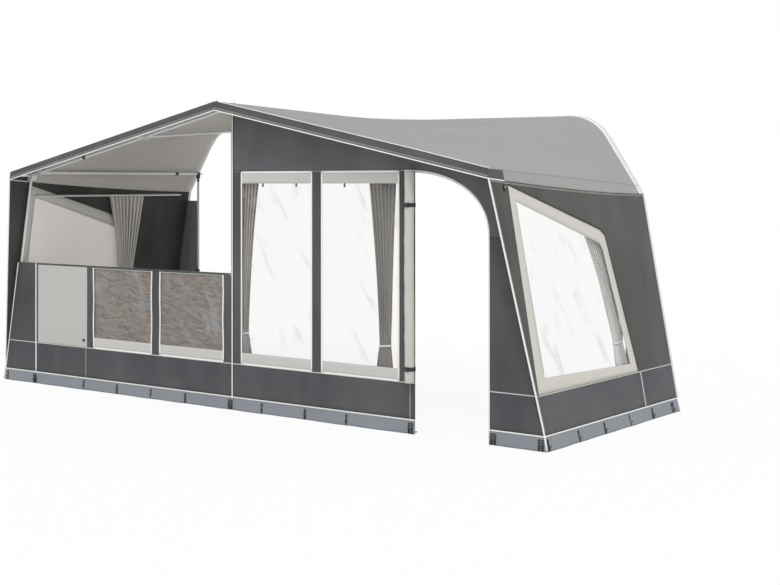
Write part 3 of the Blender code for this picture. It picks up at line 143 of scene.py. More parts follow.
# Meshes -----------------------------------------------------------------


def add_object(name, points, faces, finishes, slots=None, uv=None, smooth=True):
    """A mesh object from an array of points and a list of faces, placed at the origin."""
    mesh = bpy.data.meshes.new(name)
    spots = np.asarray(points, float).reshape(-1, 3).tolist()
    mesh.from_pydata(spots, [], [list(map(int, face)) for face in faces])
    for finish in finishes:
        mesh.materials.append(finish)
    if slots is not None:
        mesh.polygons.foreach_set("material_index", np.asarray(slots, np.int32))
    if uv is not None:
        layer = mesh.uv_layers.new(name="UVMap")
        corners = np.empty(len(mesh.loops), np.int32)
        mesh.loops.foreach_get("vertex_index", corners)
        layer.data.foreach_set("uv", np.asarray(uv, float)[corners].ravel())
    mesh.polygons.foreach_set("use_smooth", np.full(len(mesh.polygons), smooth))
    mesh.update()
    made = bpy.data.objects.new(name, mesh)
    bpy.context.scene.collection.objects.link(made)
    return made


def shell(outer, inner, slots=(0, 1, 0), skip=None):
    """Points, faces and slots of a closed sheet between two grids of the same shape.

    The outer grid's quads come first, then the inner grid's turned over, then a rim of
    quads along every edge that only one kept cell uses.
    """
    rows, columns = outer.shape[:2]
    index = np.arange(rows * columns).reshape(rows, columns)
    keep = np.ones((rows - 1, columns - 1), bool) if skip is None else ~skip
    ring = np.stack([index[:-1, :-1], index[:-1, 1:], index[1:, 1:], index[1:, :-1]], -1)[keep]
    count = rows * columns
    edges = np.concatenate([ring[:, [k, (k + 1) % 4]] for k in range(4)])
    code = edges[:, 0] * count + edges[:, 1]
    back = edges[:, 1] * count + edges[:, 0]
    rim = edges[~np.isin(code, back)]
    walls = np.stack([rim[:, 0], rim[:, 0] + count, rim[:, 1] + count, rim[:, 1]], -1)
    faces = np.concatenate([ring, ring[:, ::-1] + count, walls])
    points = np.concatenate([outer.reshape(-1, 3), inner.reshape(-1, 3)])
    used = [slots[0]] * len(ring) + [slots[1]] * len(ring) + [slots[2]] * len(walls)
    return points, faces, used


def turned_out(points, faces):
    """The faces, all turned over if the closed shape's signed volume is negative.

    The volume is the sum over each face's fan of triangles of a . (b x c) / 6.
    """
    fan = np.asarray(faces)
    total = 0.0
    for k in range(1, fan.shape[1] - 1):
        a, b, c = points[fan[:, 0]], points[fan[:, k]], points[fan[:, k + 1]]
        total += np.einsum("ij,ij->", a, np.cross(b, c))
    return fan[:, ::-1] if total < 0 else fan


def sheet_object(name, outer, inner, finishes, slots=(0, 1, 0), skip=None, uv=None):
    """A closed sheet as an object, with its faces pointing out."""
    points, faces, used = shell(outer, inner, slots, skip)
    faces = turned_out(points, faces)
    if uv is not None:
        uv = np.concatenate([uv.reshape(-1, 2)] * 2)
    return add_object(name, points, faces, finishes, used, uv)


def tube_points(path, radius, sides, flat=1.0):
    """Rings of a tube carried along a path, and its faces with closed ends.

    At each point the ring stands square to the mean of the runs beside it; its first
    axis is the part of the world's Z that is square to the path, or of X on a run that
    is nearly upright. flat scales the ring's second axis.
    """
    path = np.asarray(path, float)
    run = np.gradient(path, axis=0)
    run /= np.linalg.norm(run, axis=1)[:, None]
    up = np.where(np.abs(run[:, 2:3]) > 0.85, [[1.0, 0.0, 0.0]], [[0.0, 0.0, 1.0]])
    first = up - run * np.sum(up * run, axis=1)[:, None]
    first /= np.linalg.norm(first, axis=1)[:, None]
    second = np.cross(run, first)
    angle = np.arange(sides) * 2 * np.pi / sides
    cosine, sine = np.cos(angle)[None, :, None], np.sin(angle)[None, :, None]
    ring = cosine * first[:, None] + flat * sine * second[:, None]
    points = (path[:, None] + radius * ring).reshape(-1, 3)
    index = np.arange(len(points)).reshape(len(path), sides)
    after = np.roll(index, -1, axis=1)
    quads = np.stack([index[:-1], after[:-1], after[1:], index[1:]], -1).reshape(-1, 4)
    return points, quads, (index[0][::-1], index[-1])


def tubes_object(name, paths, radius, finish, sides=8, flat=1.0):
    """Several tubes as one piece."""
    points = []
    faces = []
    start = 0
    for path in paths:
        spots, quads, caps = tube_points(path, radius, sides, flat)
        faces += [tuple(quad + start) for quad in quads]
        faces += [tuple(cap + start) for cap in caps]
        points.append(spots)
        start += len(spots)
    return add_object(name, np.concatenate(points), faces, [finish])


def line(start, end, step=0.05):
    """Points along a straight line, about one step apart."""
    start, end = np.asarray(start, float), np.asarray(end, float)
    count = max(int(np.linalg.norm(end - start) / step) + 2, 3)
    share = np.linspace(0, 1, count)[:, None]
    return start + (end - start) * share


def blocks_object(name, centres, sizes, axes, finish, bevel=0.0):
    """Boxes with rounded edges: each has a centre, a size and three axes as rows."""
    unit = np.array([[x, y, z] for x in (-0.5, 0.5) for y in (-0.5, 0.5) for z in (-0.5, 0.5)])
    quads = np.array([(0, 1, 3, 2), (4, 6, 7, 5), (0, 4, 5, 1), (2, 3, 7, 6), (0, 2, 6, 4), (1, 5, 7, 3)])
    points = []
    faces = []
    for number, (centre, size, axis) in enumerate(zip(centres, sizes, axes)):
        points.append(np.asarray(centre) + (unit * np.asarray(size)) @ np.asarray(axis))
        turned = quads if np.linalg.det(np.asarray(axis)) > 0 else quads[:, ::-1]
        faces += [tuple(quad + 8 * number) for quad in turned]
    made = add_object(name, np.concatenate(points), faces, [finish], smooth=bevel > 0)
    if bevel:
        rounder = made.modifiers.new("Bevel", "BEVEL")
        rounder.width = bevel
        rounder.segments = 2
    return made


# Shape of the awning ----------------------------------------------------


def side_x(z):
    """Distance of a side wall's outer face from the middle, which shrinks with height."""
    return HALF_WIDTH - LEAN * z


def on_side(side, back, z, depth=0.0):
    """Points on a side wall: back from the front wall, up, and depth inside its face."""
    back, z, depth = np.broadcast_arrays(*(np.asarray(v, float) for v in (back, z, depth)))
    scale = math.hypot(1, LEAN)
    x = side * (side_x(z) - depth / scale)
    return np.stack([x, FRONT_Y + back, z - depth * LEAN / scale], -1)


def on_wall(side):
    """The function that gives points on one side wall."""
    return lambda back, z, depth=0.0: on_side(side, back, z, depth)


def wall_axes(side):
    """Axes of a block that lies on a side wall: out of the wall, back, and up along it."""
    scale = math.hypot(1, LEAN)
    return [np.array([side * 1.0, 0, LEAN]) / scale, (0, 1, 0), np.array([-side * LEAN, 0, 1.0]) / scale]


def on_front(x, z, depth=0.0):
    """Points on the front wall, depth inside its face."""
    x, z, depth = np.broadcast_arrays(*(np.asarray(v, float) for v in (x, z, depth)))
    return np.stack([x, FRONT_Y + depth, z], -1)


def seam_z(y):
    """Height of the seam between roof and side wall: a curve that sinks to the rear."""
    left = np.clip((REAR_Y - np.asarray(y, float)) / DEPTH, 0, None)
    return REAR_SEAM + (EAVE - FASCIA - REAR_SEAM) * left ** SEAM_CURVE


def rail_at(share):
    """The rear rail's half line at shares of its length down to the eave's fold.

    A flat run, then an arc of RAIL_RADIUS over RAIL_ANGLE, then a steep straight run
    of which STEEP_SHARE belongs to this stretch.
    """
    arc_x = RAIL_FLAT + RAIL_RADIUS * math.sin(RAIL_ANGLE)
    arc_z = RAIL - RAIL_RADIUS * (1 - math.cos(RAIL_ANGLE))
    end = np.array([side_x(REAR_SEAM), REAR_SEAM])
    steep = (end - [arc_x, arc_z]) * STEEP_SHARE
    lengths = (RAIL_FLAT, RAIL_RADIUS * RAIL_ANGLE, np.hypot(*steep))
    run = np.asarray(share, float) * sum(lengths)
    turn = np.clip((run - lengths[0]) / RAIL_RADIUS, 0, RAIL_ANGLE)
    tail = np.clip((run - lengths[0] - lengths[1]) / lengths[2], 0, 1)
    x = np.minimum(run, RAIL_FLAT) + RAIL_RADIUS * np.sin(turn) + steep[0] * tail
    z = RAIL - RAIL_RADIUS * (1 - np.cos(turn)) + steep[1] * tail
    return np.stack([x, z], -1)


def roof_at(share, y):
    """Roof height field: straight lines from the canopy's pitched edge to the rail.

    share runs from 0 at the ridge to 1 at the eave's fold, and on to 2 at the seam.
    """
    share, y = np.broadcast_arrays(np.asarray(share, float), np.asarray(y, float))
    along = np.clip(share, 0, 1)[..., None]
    back = ((y - CANOPY_Y) / DEPTH)[..., None]
    eave_x = side_x(EAVE)
    front = np.concatenate([along * eave_x, PEAK - (PEAK - EAVE) * along], -1)
    fold = front + (rail_at(np.clip(share, 0, 1)) - front) * back
    z = seam_z(y)
    seam = np.stack([side_x(z), z], -1)
    down = np.clip(share - 1, 0, 1)[..., None]
    return fold + (seam - fold) * down


def roof_points(share, y):
    """Points of the roof; a negative share lies on the left half."""
    half = roof_at(np.abs(share), y)
    side = np.sign(share)
    return np.stack([side * half[..., 0], np.broadcast_to(y, side.shape), half[..., 1]], -1)


def lines_between(*breaks, step=0.03):
    """Grid lines that keep every break, about one step apart."""
    parts = []
    for near, far in zip(breaks, breaks[1:]):
        count = max(int(round(abs(far - near) / step)), 1)
        parts.append(np.linspace(near, far, count, endpoint=False))
    return np.concatenate(parts + [np.array([breaks[-1]])])


def middles(lines):
    """Middles between neighbouring grid lines."""
    return (lines[:-1] + lines[1:]) / 2


def in_windows(x, edges):
    """Which places across lie in one of the two windows between four edges."""
    return ((x > edges[0]) & (x < edges[1])) | ((x > edges[2]) & (x < edges[3]))


def calm(values, places, width):
    """1 away from the places and 0 at them: the product of 1 - exp(-(distance / width)^2)."""
    field = np.ones_like(values)
    for place in places:
        field = field * (1 - np.exp(-(((values - place) / width) ** 2)))
    return field


def ripples(across, up, seed):
    """Slow swells and slanting creases between -1 and 1: a sum of four sines with set phases."""
    return (0.42 * np.sin(2.3 * across + 1.1 * up + seed)
            + 0.26 * np.sin(5.1 * up - 3.2 * across + 2.1 * seed)
            + 0.20 * np.sin(11.0 * across + 6.0 * np.sin(1.7 * up + seed))
            + 0.12 * np.sin(17.0 * up + 9.0 * across))


def film_waves(across, up, seed):
    """Soft tall waves of hung film: sines across whose phase drifts with height."""
    drift = 0.9 * np.sin(1.9 * up + seed) + 0.4 * np.sin(4.3 * up + 2 * seed)
    return 0.6 * np.sin(13.0 * across + drift + seed) + 0.4 * np.sin(29.0 * across - 2.2 * drift + up)


def declare(grid, skip=None):
    """Works out the size that a sheet was cut to from its grid, without keeping or returning it.

    The width is the longest row, the length the longest column, and the area the sum of
    the kept cells. A border with a large hole counts as one long strip round it.
    """
    width = np.linalg.norm(np.diff(grid, axis=1), axis=-1).sum(1).max()
    length = np.linalg.norm(np.diff(grid, axis=0), axis=-1).sum(0).max()
    one, two = grid[1:, 1:] - grid[:-1, :-1], grid[1:, :-1] - grid[:-1, 1:]
    cells = np.linalg.norm(np.cross(one, two), axis=-1) / 2
    area = float(cells.sum() if skip is None else cells[~skip].sum())
    if area < 0.32 * width * length:
        length = 2 * (width + length)
        width = area / length


def panel(name, across, up, spot, finishes, swell=0.0, seed=0.0, seams=(), rows=(), base=0.0,
          skip=None, thick=0.0024, slots=(0, 1, 0), field=ripples, quiet=0.09):
    """A sewn cloth panel on a wall, its inner face thick behind its outer one.

    Its depth behind the wall's face is base plus swell times the field, and fades to
    nothing at the seams (places across) and rows (heights). Its UV map is in metres.
    """
    fade = calm(across, seams, quiet) * calm(up, rows, quiet)
    depth = base + swell * field(across, up, seed) * fade
    outer, inner = spot(across, up, depth), spot(across, up, depth + thick)
    uv = np.stack([across, up], -1)
    return sheet_object(name, outer, inner, finishes, slots, skip, uv), outer


def paint(piece, choose):
    """Gives faces another finish: choose gets the faces' centres and old slots and returns new slots."""
    mesh = piece.data
    centres = np.empty(len(mesh.polygons) * 3)
    mesh.polygons.foreach_get("center", centres)
    slots = np.empty(len(mesh.polygons), np.int32)
    mesh.polygons.foreach_get("material_index", slots)
    new = choose(centres.reshape(-1, 3), slots)
    mesh.polygons.foreach_set("material_index", new.astype(np.int32))


def low_faces(height):
    """For paint: the third finish on outer faces below a height."""
    return lambda centres, slots: np.where((slots == 0) & (centres[:, 2] < height), 2, slots)


def run_lengths(points):
    """How far along a path each of its points lies."""
    return np.concatenate([[0], np.cumsum(np.linalg.norm(np.diff(points, axis=0), axis=1))])


def unrolled(row, z):
    """UV map in metres of a rolled or gathered sheet: the run along one of its rows, and the height."""
    return np.stack(np.broadcast_arrays(run_lengths(row)[None, :], z[:, None]), -1)


def ring_object(name, paths, finishes, uv=None):
    """A closed band whose cross-section is the list of closed paths, each of the same length.

    paths has the shape (sections, points, 3); both directions close on themselves.
    """
    paths = np.asarray(paths, float)
    rows, columns = paths.shape[:2]
    index = np.arange(rows * columns).reshape(rows, columns)
    right, down = np.roll(index, -1, 1), np.roll(index, -1, 0)
    faces = np.stack([index, right, np.roll(right, -1, 0), down], -1).reshape(-1, 4)
    points = paths.reshape(-1, 3)
    return add_object(name, points, turned_out(points, faces), finishes, uv=uv)


# Finishes ---------------------------------------------------------------


def colour_of(code, alpha=1.0):
    """A written colour such as 978A7F, or a colour setting, as linear values."""
    if not isinstance(code, str):
        return tuple(code) + (alpha,)
    parts = [int(code[k:k + 2], 16) / 255 for k in (0, 2, 4)]
    return tuple(c / 12.92 if c <= 0.04045 else ((c + 0.055) / 1.055) ** 2.4 for c in parts) + (alpha,)


def fill(tree, made, **inputs):
    """Fills a node's inputs with values, or links sockets to them.

    i6 means the input with number 6; in a name, an underline stands for a blank.
    """
    for key, value in inputs.items():
        numbered = key[0] == "i" and key[1:].isdigit()
        socket = made.inputs[int(key[1:]) if numbered else key.replace("_", " ")]
        if isinstance(value, bpy.types.NodeSocket):
            tree.links.new(value, socket)
        else:
            socket.default_value = value
    return made


def node(tree, kind, settings=None, **inputs):
    """A shader node with its settings and its inputs."""
    made = tree.nodes.new(kind)
    for key, value in (settings or {}).items():
        setattr(made, key, value)
    return fill(tree, made, **inputs)


def math_node(tree, operation, first, second=0.0):
    """The output of a Math node."""
    return node(tree, "ShaderNodeMath", {"operation": operation}, i0=first, i1=second).outputs[0]


def times(tree, first, second):
    """The product of two values."""
    return math_node(tree, "MULTIPLY", first, second)


def plus(tree, first, second):
    """The sum of two values."""
    return math_node(tree, "ADD", first, second)


def blend_colours(tree, share, first, second, kind="MIX"):
    """The output of a colour Mix node."""
    settings = {"data_type": "RGBA", "blend_type": kind}
    return node(tree, "ShaderNodeMix", settings, Factor=share, i6=first, i7=second).outputs[2]


def place_of(tree, kind="Object"):
    """Where a point lies: on the object, or on its UV map."""
    return tree.nodes.new("ShaderNodeTexCoord").outputs[kind]


def axis_of(tree, vector, axis):
    """One coordinate of a vector."""
    return node(tree, "ShaderNodeSeparateXYZ", Vector=vector).outputs[axis]


def noise(tree, vector, scale, **inputs):
    """Noise between 0 and 1 at a place."""
    return node(tree, "ShaderNodeTexNoise", Vector=vector, Scale=scale, **inputs).outputs["Fac"]


def mapped(tree, vector, rotation, scale, kind="POINT"):
    """A place, turned and scaled; the kind TEXTURE turns streaks with it."""
    return node(tree, "ShaderNodeMapping", {"vector_type": kind}, Vector=vector, Rotation=rotation,
                Scale=scale).outputs[0]


def bump_node(tree, strength, distance, height, **inputs):
    """A normal bent by a height."""
    made = node(tree, "ShaderNodeBump", Strength=strength, Distance=distance, Height=height, **inputs)
    return made.outputs[0]


def new_group(name, inputs, outputs):
    """An empty node group: its inputs by name with their defaults, and the names of its outputs.

    A default of four values makes a colour input, and only the output named Colour is one.
    """
    group = bpy.data.node_groups.new(name, "ShaderNodeTree")
    for label, value in inputs.items():
        kind = "NodeSocketColor" if isinstance(value, tuple) else "NodeSocketFloat"
        group.interface.new_socket(label, in_out="INPUT", socket_type=kind).default_value = value
    for label in outputs:
        kind = "NodeSocketColor" if label == "Colour" else "NodeSocketFloat"
        group.interface.new_socket(label, in_out="OUTPUT", socket_type=kind)
    given = group.nodes.new("NodeGroupInput")
    return group, given.outputs, group.nodes.new("NodeGroupOutput")


def weave_group():
    """Plain weave on the UV map: two sets of threads at right angles, and slubs in the colour."""
    group, given, out = new_group("Weave", {"Colour": GREY, "Threads": 700.0, "Contrast": 0.25},
                                  ("Colour", "Height"))
    uv = place_of(group, "UV")
    scale = math_node(group, "DIVIDE", given["Threads"], 20.0)
    warp, weft = (node(group, "ShaderNodeTexWave", {"bands_direction": direction}, Vector=uv, Scale=scale,
                       Distortion=0.0).outputs["Fac"] for direction in ("X", "Y"))
    thread = times(group, warp, weft)
    shade = times(group, plus(group, thread, noise(group, uv, 160.0, Detail=2.0)), given["Contrast"])
    dark = blend_colours(group, 1.0, given["Colour"], (0.62, 0.62, 0.62, 1), "MULTIPLY")
    fill(group, out, Colour=blend_colours(group, shade, given["Colour"], dark), Height=thread)


def crease_group():
    """Creases of cloth that was folded away: slow swells with finer noise on them, and tall thin lines used
    as a mask for painted glints on window film.
    """
    group, given, out = new_group("Creases", {"Size": 3.0, "Fine": 0.15}, ("Height", "Streaks", "Shade"))
    place = place_of(group)
    turned = mapped(group, place, (0.2, 0.15, 0.3), (1.0, 1.0, 0.40))
    slow = noise(group, turned, given["Size"], Detail=2.0, Distortion=0.4)
    fine = noise(group, turned, times(group, given["Size"], 5.0), Detail=3.0)
    tall = mapped(group, place, (0.3, -0.55, 0.0), (0.13, 0.13, 1.60), "TEXTURE")
    painted_glints = node(group, "ShaderNodeMapRange", {"interpolation_type": "SMOOTHSTEP"},
                   Value=noise(group, tall, 1.0, Detail=2.0, Distortion=0.25), From_Min=0.54, From_Max=0.78)
    fill(group, out, Height=plus(group, slow, times(group, fine, given["Fine"])), Streaks=painted_glints.outputs[0],
         Shade=slow)


def grime_group():
    """Dust towards the ground and faint stains: mixes a colour with a dusty one."""
    group, given, out = new_group("Grime", {"Colour": GREY, "Dust": (0.42, 0.39, 0.34, 1), "Amount": 0.3,
                                            "Reach": 0.35, "Roughness": 0.8}, ("Colour", "Roughness"))
    place = place_of(group)
    height = math_node(group, "DIVIDE", axis_of(group, place, "Z"), given["Reach"])
    low = node(group, "ShaderNodeClamp", Value=math_node(group, "SUBTRACT", 1.0, height)).outputs[0]
    share = times(group, plus(group, low, 0.22), noise(group, place, 5.0, Detail=6.0, Roughness=0.65))
    share = times(group, share, given["Amount"])
    rough = node(group, "ShaderNodeClamp", Value=plus(group, given["Roughness"], times(group, share, 0.3)))
    fill(group, out, Colour=blend_colours(group, share, given["Colour"], given["Dust"]),
         Roughness=rough.outputs[0])


def scuff_group():
    """Fine scratches and rubbed spots on hard parts: a mask from two noises."""
    group, given, out = new_group("Scuffs", {"Colour": GREY, "Rubbed": (0.7, 0.7, 0.7, 1), "Amount": 0.3,
                                             "Roughness": 0.4}, ("Colour", "Roughness", "Height"))
    place = place_of(group)
    spots = noise(group, place, 38.0, Detail=5.0, Roughness=0.7)
    lines = noise(group, mapped(group, place, (0, 0, 0), (400.0, 400.0, 25.0)), 1.0)
    mask = node(group, "ShaderNodeClamp", Value=times(group, math_node(group, "SUBTRACT", spots, 0.52), 6.0))
    share = times(group, mask.outputs[0], given["Amount"])
    fill(group, out, Colour=blend_colours(group, share, given["Colour"], given["Rubbed"]), Height=lines,
         Roughness=plus(group, given["Roughness"], times(group, lines, 0.12)))


def put_group(tree, name, **inputs):
    """A placed node group."""
    made = tree.nodes.new("ShaderNodeGroup")
    made.node_tree = bpy.data.node_groups[name]
    return fill(tree, made, **inputs)


def new_material(name):
    """A material with its node tree and its Principled shader."""
    made = bpy.data.materials.get(name) or bpy.data.materials.new(name)
    made.use_nodes = True
    shader = made.node_tree.nodes.get("Principled BSDF")
    return made, made.node_tree, shader


def cloth(name, code, creases=0.35, dust=0.25, threads=700.0, sheen=0.03, painted_light=None, rough=0.82):
    """Woven coated cloth: weave, creases, dust towards the ground, and optional painted light.

    The optional last argument is a second, lighter colour that takes over along the object's X, from its
    first to its last place: painted light, not a change in the cloth.
    """
    made, tree, shader = new_material(name)
    colour = colour_of(code)
    # Painted light: a lighter colour blended in along X.
    if painted_light:
        second, start, end = painted_light
        across = axis_of(tree, place_of(tree), "X")
        share = node(tree, "ShaderNodeMapRange", Value=across, From_Min=start, From_Max=end).outputs[0]
        colour = blend_colours(tree, share, colour, colour_of(second))
    weave = put_group(tree, "Weave", Colour=colour, Threads=threads, Contrast=0.22)
    crease = put_group(tree, "Creases", Size=2.6, Fine=0.15)
    faded = blend_colours(tree, times(tree, crease.outputs["Shade"], 0.16), weave.outputs["Colour"],
                          (0.55, 0.54, 0.53, 1))
    grime = put_group(tree, "Grime", Colour=faded, Amount=dust, Roughness=rough)
    threads_bump = bump_node(tree, 0.25, 0.0004, weave.outputs["Height"])
    fill(tree, shader, Base_Color=grime.outputs["Colour"], Roughness=grime.outputs["Roughness"],
         Normal=bump_node(tree, creases, 0.03, crease.outputs["Height"], Normal=threads_bump),
         Sheen_Weight=sheen, Sheen_Roughness=0.5, Specular_IOR_Level=0.12)
    return made


def see_through(made, alpha):
    """Thins a cloth so that light behind it shows through."""
    made.node_tree.nodes["Principled BSDF"].inputs["Alpha"].default_value = alpha
    return made


def film(name, code, clear=0.07, streak=0.20):
    """Clear window film: thin, glossy, with painted glints: along crease lines the alpha rises and the film
    turns milky.
    """
    made, tree, shader = new_material(name)
    crease = put_group(tree, "Creases", Size=3.4, Fine=0.35)
    # The alpha rises along the crease lines: painted glints.
    fill(tree, shader, Base_Color=colour_of(code), Roughness=0.08, IOR=1.5, Specular_IOR_Level=1.0,
         Coat_Weight=0.6, Coat_Roughness=0.04,
         Alpha=plus(tree, clear, times(tree, crease.outputs["Streaks"], streak)),
         Normal=bump_node(tree, 0.5, 0.03, crease.outputs["Height"]))
    return made


def moulded(name, code, rubbed, rough=0.42, amount=0.25, metal=0.0, grain=0.0006):
    """Hard parts: moulded plastic, rubber, bead or drawn tube, with scuffs and a fine grain."""
    made, tree, shader = new_material(name)
    scuff = put_group(tree, "Scuffs", Colour=colour_of(code), Rubbed=colour_of(rubbed), Amount=amount,
                      Roughness=rough)
    fill(tree, shader, Base_Color=scuff.outputs["Colour"], Roughness=scuff.outputs["Roughness"],
         Metallic=metal, Normal=bump_node(tree, 0.3, grain, scuff.outputs["Height"]))
    return made


def banded(name, axis, bands, fold=False):
    """Tube finish with black moulded blocks where the coordinate along the axis lies in a band.

    Each band is a middle and a half length; fold measures from the middle of the awning.
    """
    made, tree, shader = new_material(name)
    along = axis_of(tree, place_of(tree), axis)
    if fold:
        along = math_node(tree, "ABSOLUTE", along)
    mask = None
    for middle, half in bands:
        away = math_node(tree, "ABSOLUTE", math_node(tree, "SUBTRACT", along, middle))
        near = math_node(tree, "LESS_THAN", away, half)
        mask = near if mask is None else math_node(tree, "MAXIMUM", mask, near)
    metal, block = (put_group(tree, "Scuffs", Colour=colour_of(code), Rubbed=colour_of(rubbed), Amount=amount,
                              Roughness=rough).outputs
                    for code, rubbed, amount, rough in (("D6D8D8", "9A9C9E", 0.35, 0.34),
                                                        ("1B1C1E", "4A4B4D", 0.3, 0.45)))
    fill(tree, shader, Base_Color=blend_colours(tree, mask, metal["Colour"], block["Colour"]),
         Roughness=plus(tree, metal["Roughness"], times(tree, mask, 0.12)),
         Metallic=times(tree, math_node(tree, "SUBTRACT", 1.0, mask), 0.25),
         Normal=bump_node(tree, 0.2, 0.0005, metal["Height"]))
    return made


def weave_of(made):
    """The Weave node of a cloth."""
    return next(n for n in made.node_tree.nodes if n.type == "GROUP" and n.node_tree.name == "Weave")


def striped(name, code, stripe, pitch):
    """Curtain cloth with soft upright stripes on its UV map."""
    made = cloth(name, code, creases=0.2, dust=0.1, threads=500.0, sheen=0.08)
    tree = made.node_tree
    wave = node(tree, "ShaderNodeTexWave", {"bands_direction": "X"}, Vector=place_of(tree, "UV"),
                Scale=1 / (20 * pitch) * 6.283, Distortion=0.4, Detail=1.0).outputs["Fac"]
    fill(tree, weave_of(made), Colour=blend_colours(tree, wave, colour_of(code), colour_of(stripe)))
    return made


def slack_blind(name, code):
    """Blind cloth in slack level folds: cloth whose colour turns to a darker brown along level creases of
    stretched noise, painted shade in the creases.
    """
    made = cloth(name, code, creases=0.5, dust=0.05, threads=450.0)
    tree = made.node_tree
    level = mapped(tree, place_of(tree), (0.0, 0.16, 0.0), (0.11, 0.11, 0.022), "TEXTURE")
    lines = noise(tree, level, 1.0, Detail=5.0, Distortion=1.5)
    share = node(tree, "ShaderNodeMapRange", Value=lines, From_Min=0.35, From_Max=0.68).outputs[0]
    # The darker 5A4D44 along the crease lines is painted shade.
    fill(tree, weave_of(made), Colour=blend_colours(tree, share, colour_of("5A4D44"), colour_of(code)))
    last = tree.nodes["Principled BSDF"].inputs["Normal"].links[0].from_node
    fill(tree, last, Normal=bump_node(tree, 0.6, 0.006, lines))
    return made


def make_finishes(colours):
    """All finishes, by the name that the pieces use."""
    for group in (weave_group, crease_group, grime_group, scuff_group):
        group()
    return {
        # The roof turns to the lighter A0A29F towards its right end: painted light.
        "roof": cloth("awning_roof", colours.roof, creases=0.30, dust=0.08, painted_light=("A0A29F", 0.9, 3.2)),
        "lining": cloth("awning_lining", colours.lining, creases=0.35, dust=0.1),
        "dark": cloth("awning_dark_cloth", colours.dark, creases=0.35, dust=0.06),
        "inside": cloth("awning_inner_face", colours.inside, creases=0.3, dust=0.1),
        # The panel over the windows uses the dark cloth in a lighter colour: painted light.
        "header": cloth("awning_header_painted_light", colours.header, creases=0.35, dust=0.05),
        "band": cloth("awning_canopy_band", colours.band, creases=0.35, dust=0.05),
        "side_skirt": cloth("awning_side_skirt", colours.side_skirt, creases=0.45, dust=0.10),
        "skirt": cloth("awning_skirt", colours.skirt, creases=0.45, dust=0.10),
        "side": cloth("awning_side_cloth", colours.side, creases=0.30, dust=0.06),
        "strip": cloth("awning_window_strip", "CAC9C5", creases=0.35, dust=0.15),
        "border": cloth("awning_window_border", colours.border, creases=0.30, dust=0.15),
        "bay": cloth("awning_plain_bay", "BEBEBB", creases=0.45, dust=0.15),
        "taupe": slack_blind("awning_blind", colours.blind),
        # The left side pane's cloth F0EBE4 is its cream colour made lighter by painted light shining through
        # it.
        "screen_painted_backlight": see_through(cloth("awning_side_screen_painted_backlight", "F0EBE4", creases=0.30, dust=0.05), 0.58),
        "roll": cloth("awning_door_roll", "C9C8C1", creases=0.7, dust=0.15),
        "curtain": striped("awning_curtain", colours.curtain, "ADA398", pitch=0.032),
        # The side curtains' FAF8F4 and BFBAB1 are their pale colours made lighter: painted light.
        "side_curtain_painted_light": see_through(striped("awning_side_curtain_painted_light", "FAF8F4", "BFBAB1", pitch=0.036), 0.66),
        "tie": cloth("awning_curtain_tie", "E4E2DD", creases=0.2, dust=0.05),
        "trim": cloth("awning_piping", colours.trim, creases=0.1, dust=0.04, threads=300.0, rough=0.55,
                      sheen=0.0),
        "flap": cloth("awning_mud_flap", colours.flap, creases=0.6, dust=0.12, threads=250.0, rough=0.45,
                      sheen=0.0),
        "webbing": cloth("awning_webbing", "1C1C1E", creases=0.1, dust=0.1, threads=400.0),
        "film": film("awning_film", "B9BEC1"),
        "rubber": moulded("awning_rubber", "33373D", "5A5D62", rough=0.6),
        "plastic": moulded("awning_black_plastic", "1A1B1D", "4A4B4D"),
        "bead": moulded("awning_bead", "D8D7D2", "B9B7B0", rough=0.4),
        "track": moulded("awning_track", "D2D2CE", "B5B5B0", rough=0.35),
        "zip": moulded("awning_zip_teeth", "ECEBE7", "BDBCB8", rough=0.45, grain=0.002),
        "steel": moulded("awning_steel", "A9ABAD", "8C8E90", rough=0.3, metal=0.9),
    }


FINISH = {}


def finishes(*names):
    """Finishes by name."""
    return [FINISH[name] for name in names]


def root(piece, *nodes, body="root", slot=None):
    """Hangs a piece on its body and hides the nodes that it stands for; slot is not used."""
    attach(piece, body)
    if nodes:
        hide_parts(*nodes)


# Roof and canopy --------------------------------------------------------


